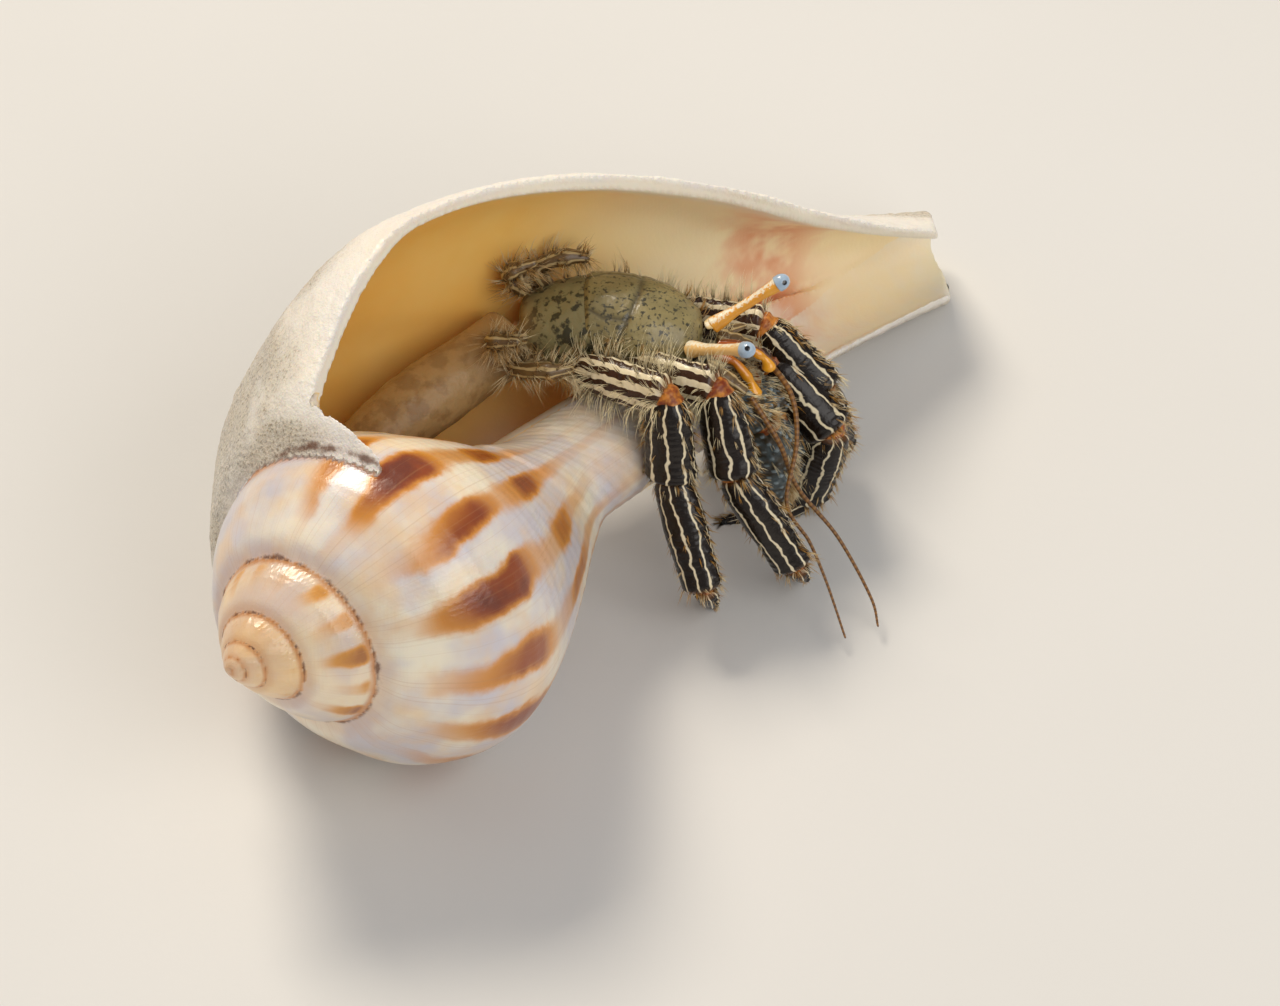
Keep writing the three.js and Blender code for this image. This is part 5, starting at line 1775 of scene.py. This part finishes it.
def bristles(name, groups, material):
    """One mesh of all the bristles in some groups, with their shades and their map."""
    g = {key: np.concatenate([group[key] for group in groups]) for key in groups[0]}
    count = len(g["length"])
    mesh = bpy.data.meshes.new(name)
    mesh.from_pydata(bristle_points(g).reshape(-1, 3).tolist(), [], bristle_faces(count))
    mesh.shade_smooth()
    obj = add_to_scene(name, mesh)
    up_share = np.repeat([t for t, _ in STATIONS], 3)[:POINTS_A_BRISTLE]
    note(obj, shade=np.repeat(g["shade"], POINTS_A_BRISTLE), up_bristle=np.tile(up_share, count))
    corner = np.empty(len(mesh.loops), np.int64)
    mesh.loops.foreach_get("vertex_index", corner)
    hair, station = corner // POINTS_A_BRISTLE, corner % POINTS_A_BRISTLE
    u = g["u"][hair] + (up_share[station] - 0.5) * TUFT_PATCH
    v = g["v"][hair] + (station % 3 - 1) * TUFT_PATCH / 2
    layer = mesh.uv_layers.new(name="OFBake")
    layer.data.foreach_set("uv", np.stack([u, v], -1).astype(np.float32).ravel())
    coat(obj, material)
    print(name, "bristles:", count, "faces:", len(mesh.polygons))
    return obj


print("faces of one bristle:", len(bristle_faces(1)))

# %% [markdown]
# ### Bristle
# Bristles are the same chitin, thin enough to let light through: brown at the root, and cream or
# yellow along most of their length.

# %% Bristle
bristle, add, shader, at = new_finish("setae_cream")
shade = add("Attribute", {"attribute_name": "shade"}, out="Fac")
up_bristle = add("Attribute", {"attribute_name": "up_bristle"}, out="Fac")
tone = add("MapRange", SMOOTH, Value=shade, From_Min=0.15, From_Max=0.85)
tone = add("Mix", COLOURS, i0=tone, i6="#b07d28", i7="#f3e6bd")
root_share = add("MapRange", SMOOTH, Value=up_bristle, From_Min=0.45, From_Max=0.0, To_Max=0.8)
tone = add("Mix", COLOURS, i0=root_share, i6=tone, i7="#5c3d18")
uneven = add("TexNoise", Vector=at, **cloud(0.4))
complete(add, shader, tone, 0.35, uneven, 0.01, IOR=1.55)

# %% [markdown]
# The thighs of the walking legs have long pale tufts that lean back to the body. The other pieces
# have shorter ones that lean to the tip, and the claws are thick with them.

# %% Coats of the limbs
# For each piece of a limb: tufts, bristles in a tuft, length, lean and range of shade.
LEG_PLAN = [(170, 4, 2.9, -0.3, (0.75, 1.0)), (120, 3, 1.2, 0.5, (0.1, 0.8)),
            (110, 3, 1.1, 0.5, (0.1, 0.7)), (80, 3, 0.8, 0.6, (0.1, 0.6))]
CLAW_PLAN = [(200, 4, 1.4, 0.5, (0.3, 1.0)), (150, 4, 1.5, 0.45, (0.3, 0.8)),
             (280, 4, 1.4, 0.5, (0.3, 0.8))]
MAP_GAP = 0.02


def on_edges(row, column):
    """Bristles crowd along the two edges of a leg piece and towards its far end."""
    edge = np.abs(np.sin(column * 2 * math.pi)) ** 8
    return 0.03 + 0.7 * edge + 0.9 * smoothstep(row, 0.88, 0.95)


def limb_coat(name, limb_names, seed, plan):
    """The bristles of two limbs. Each hard piece has its own cell of the map."""
    rng = np.random.default_rng(seed)
    groups = []
    for row, limb_name in enumerate(limb_names):
        bars = [part for part in limb_parts[limb_name] if part["material"] != JOINT_SKIN]
        for column, (bar, piece_plan) in enumerate(zip(bars, plan)):
            cell = (column / 4 + MAP_GAP, row / 2 + MAP_GAP, 0.21, 0.44)
            where = on_edges if column else None
            groups.append(tufts(bar, cell, rng, piece_plan, where))
    return bristles(name, groups, bristle)


coats = {
    "leg": [
        limb_coat("setae_legs_right", ["leg_2_right", "leg_3_right"], 101, LEG_PLAN),
        limb_coat("setae_legs_left", ["leg_2_left", "leg_3_left"], 102, LEG_PLAN),
    ],
    "claw": [limb_coat("setae_claws", ["claw_right", "claw_left"], 103, CLAW_PLAN)],
}
print("coats so far:", {slot: len(made) for slot, made in coats.items()})

# %% [markdown]
# The trunk has tufts along its sides, just under the edge of the shield, which lean to the front.
# The small limbs have them all over.

# %% Coat of the trunk and the small limbs
TRUNK_PLAN = (200, 5, 2.2, -0.25, (0.1, 0.8))


def on_flanks(row, column):
    """Along the sides of the trunk only."""
    return smoothstep(np.abs(np.cos(column * 2 * math.pi)), 0.75, 0.95)


rng = np.random.default_rng(104)
trunk_cell = (MAP_GAP, MAP_GAP, 0.45, 0.9)
trunk_coat = [tufts(trunk_tube(0.05), trunk_cell, rng, TRUNK_PLAN, on_flanks)]
for column, name in enumerate(SMALL_LIMBS):
    cell = (0.5 + column * 0.08, MAP_GAP, 0.07, 0.9)
    length = 2.1 if name.startswith("leg") else 0.9
    trunk_coat.append(tufts(rods[name], cell, rng, (90, 4, length, 0.2, (0.25, 0.7))))
coats["flesh"] = [bristles("setae_trunk", trunk_coat, bristle)]
print("coats:", {slot: len(made) for slot, made in coats.items()})

# %% [markdown]
# ## Hand the pieces to the frame
# Visible pieces stand in for the frame's plain solids, which stay for physics. Meshes are scaled
# from millimetres to metres here, in their points, so no object carries a scale of its own.

# %% Place the pieces
BODY_NODES = ["thorax", "carapace_rear", "abdomen_front", "abdomen_middle", "abdomen_rear", "tail_fan"]


def place_piece(obj, nodes):
    """Scales a piece to metres, puts it on the root body, and hides the frame's nodes that it stands
    for.
    """
    obj.data.transform(Matrix.Diagonal((MM, MM, MM, 1)))
    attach(obj, "root")
    if nodes:
        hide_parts(*nodes)


shell.name = "shell_aragonite"
place_piece(shell, ["shell"])
for name, obj in limbs.items():
    slot = name.split("_")[0]
    place_piece(obj, [node for node in frame["nodes"] if node.startswith(name + "_")])
place_piece(body, BODY_NODES)
place_piece(shield, ["carapace_shield"])
for name, obj in eye_pieces.items():
    place_piece(obj, [name])
for name, obj in rod_pieces.items():
    slot = "feeler" if name.startswith("antenn") else "leg" if name.startswith("leg") else "flesh"
    place_piece(obj, [name])
for slot, made in coats.items():
    for obj in made:
        place_piece(obj, [])

# %% [markdown]
# ## The stage
# The model stands on a pale floor of matt plaster, which takes a soft shadow and shows the colours
# of the shell as they are.

# %% Floor
FLOOR_REACH = 1.5  # metres
SQUARE = ((-1, -1), (1, -1), (1, 1), (-1, 1))

floor_mesh = bpy.data.meshes.new("floor")
corners = [(x * FLOOR_REACH, y * FLOOR_REACH, 0) for x, y in SQUARE]
floor_mesh.from_pydata(corners, [], [(0, 1, 2, 3)])
floor = add_to_scene("floor", floor_mesh)
plaster, add, shader, at = new_finish("floor_matt_plaster")
tone = add("TexNoise", Vector=at, **cloud(60.0))
tone = add("Mix", COLOURS, i0=tone, i6="#dad9d6", i7="#e0dfdd")
trowelled = add("TexNoise", Vector=at, **cloud(2.0))
complete(add, shader, tone, 0.85, trowelled, 0.02)
coat(floor, plaster)

# %% [markdown]
# The key light is a large soft lamp to the upper left, with a weak fill from the right. A lamp and
# the camera are both turned so that their own Z axis points away from what they face.

# %% Lamps and world
VIEW_TARGET = np.array((4.64, -12.2, 20.0))


def face_target(obj, turn, rise, away):
    """Stands an object so many metres from the target, and turns it to face that."""
    way = heading(turn, rise)
    obj.location = Vector(VIEW_TARGET * MM + way * away)
    obj.rotation_euler = Vector(way).to_track_quat("Z", "Y").to_euler()
    return obj


def lamp(name, turn, rise, away, width, watts, colour):
    """A soft square lamp that faces the target."""
    data = bpy.data.lights.new(name, "AREA")
    data.energy, data.size, data.color = watts, width, linear(colour)[:3]
    return face_target(add_to_scene(name, data), turn, rise, away)


lamp("key", 125, 55, 0.9, 0.32, 6.0, "#fff3e0")
lamp("fill", -50, 40, 1.0, 0.8, 4.6, "#fbf8f4")

world = bpy.data.worlds.new("studio")
world.use_nodes = True
sky = world.node_tree.nodes["Background"]
sky.inputs["Color"].default_value = linear("#f2f2f4")
sky.inputs["Strength"].default_value = 0.36
bpy.context.scene.world = world
bpy.context.scene.view_settings.view_transform = "Standard"
print("lamps:", [light.name for light in bpy.data.lights])

# %% [markdown]
# The camera looks down at 48 degrees from a metre away with a long lens, so that a small thing is
# drawn with little perspective.

# %% Camera
VIEW_TURN, VIEW_RISE, VIEW_DISTANCE = -90, 48.0, 1.0
SENSOR, VIEW_WIDTH = 36.0, 0.1152  # millimetres, and metres across the picture at the target

camera_data = bpy.data.cameras.new("camera")
camera_data.sensor_width = SENSOR
camera_data.lens = SENSOR * VIEW_DISTANCE / VIEW_WIDTH
camera_data.clip_start, camera_data.clip_end = 0.05, 20.0
camera = face_target(add_to_scene("camera", camera_data), VIEW_TURN, VIEW_RISE, VIEW_DISTANCE)
bpy.context.scene.camera = camera
print("camera at", [round(v, 3) for v in camera.location], "lens", round(camera_data.lens, 1))
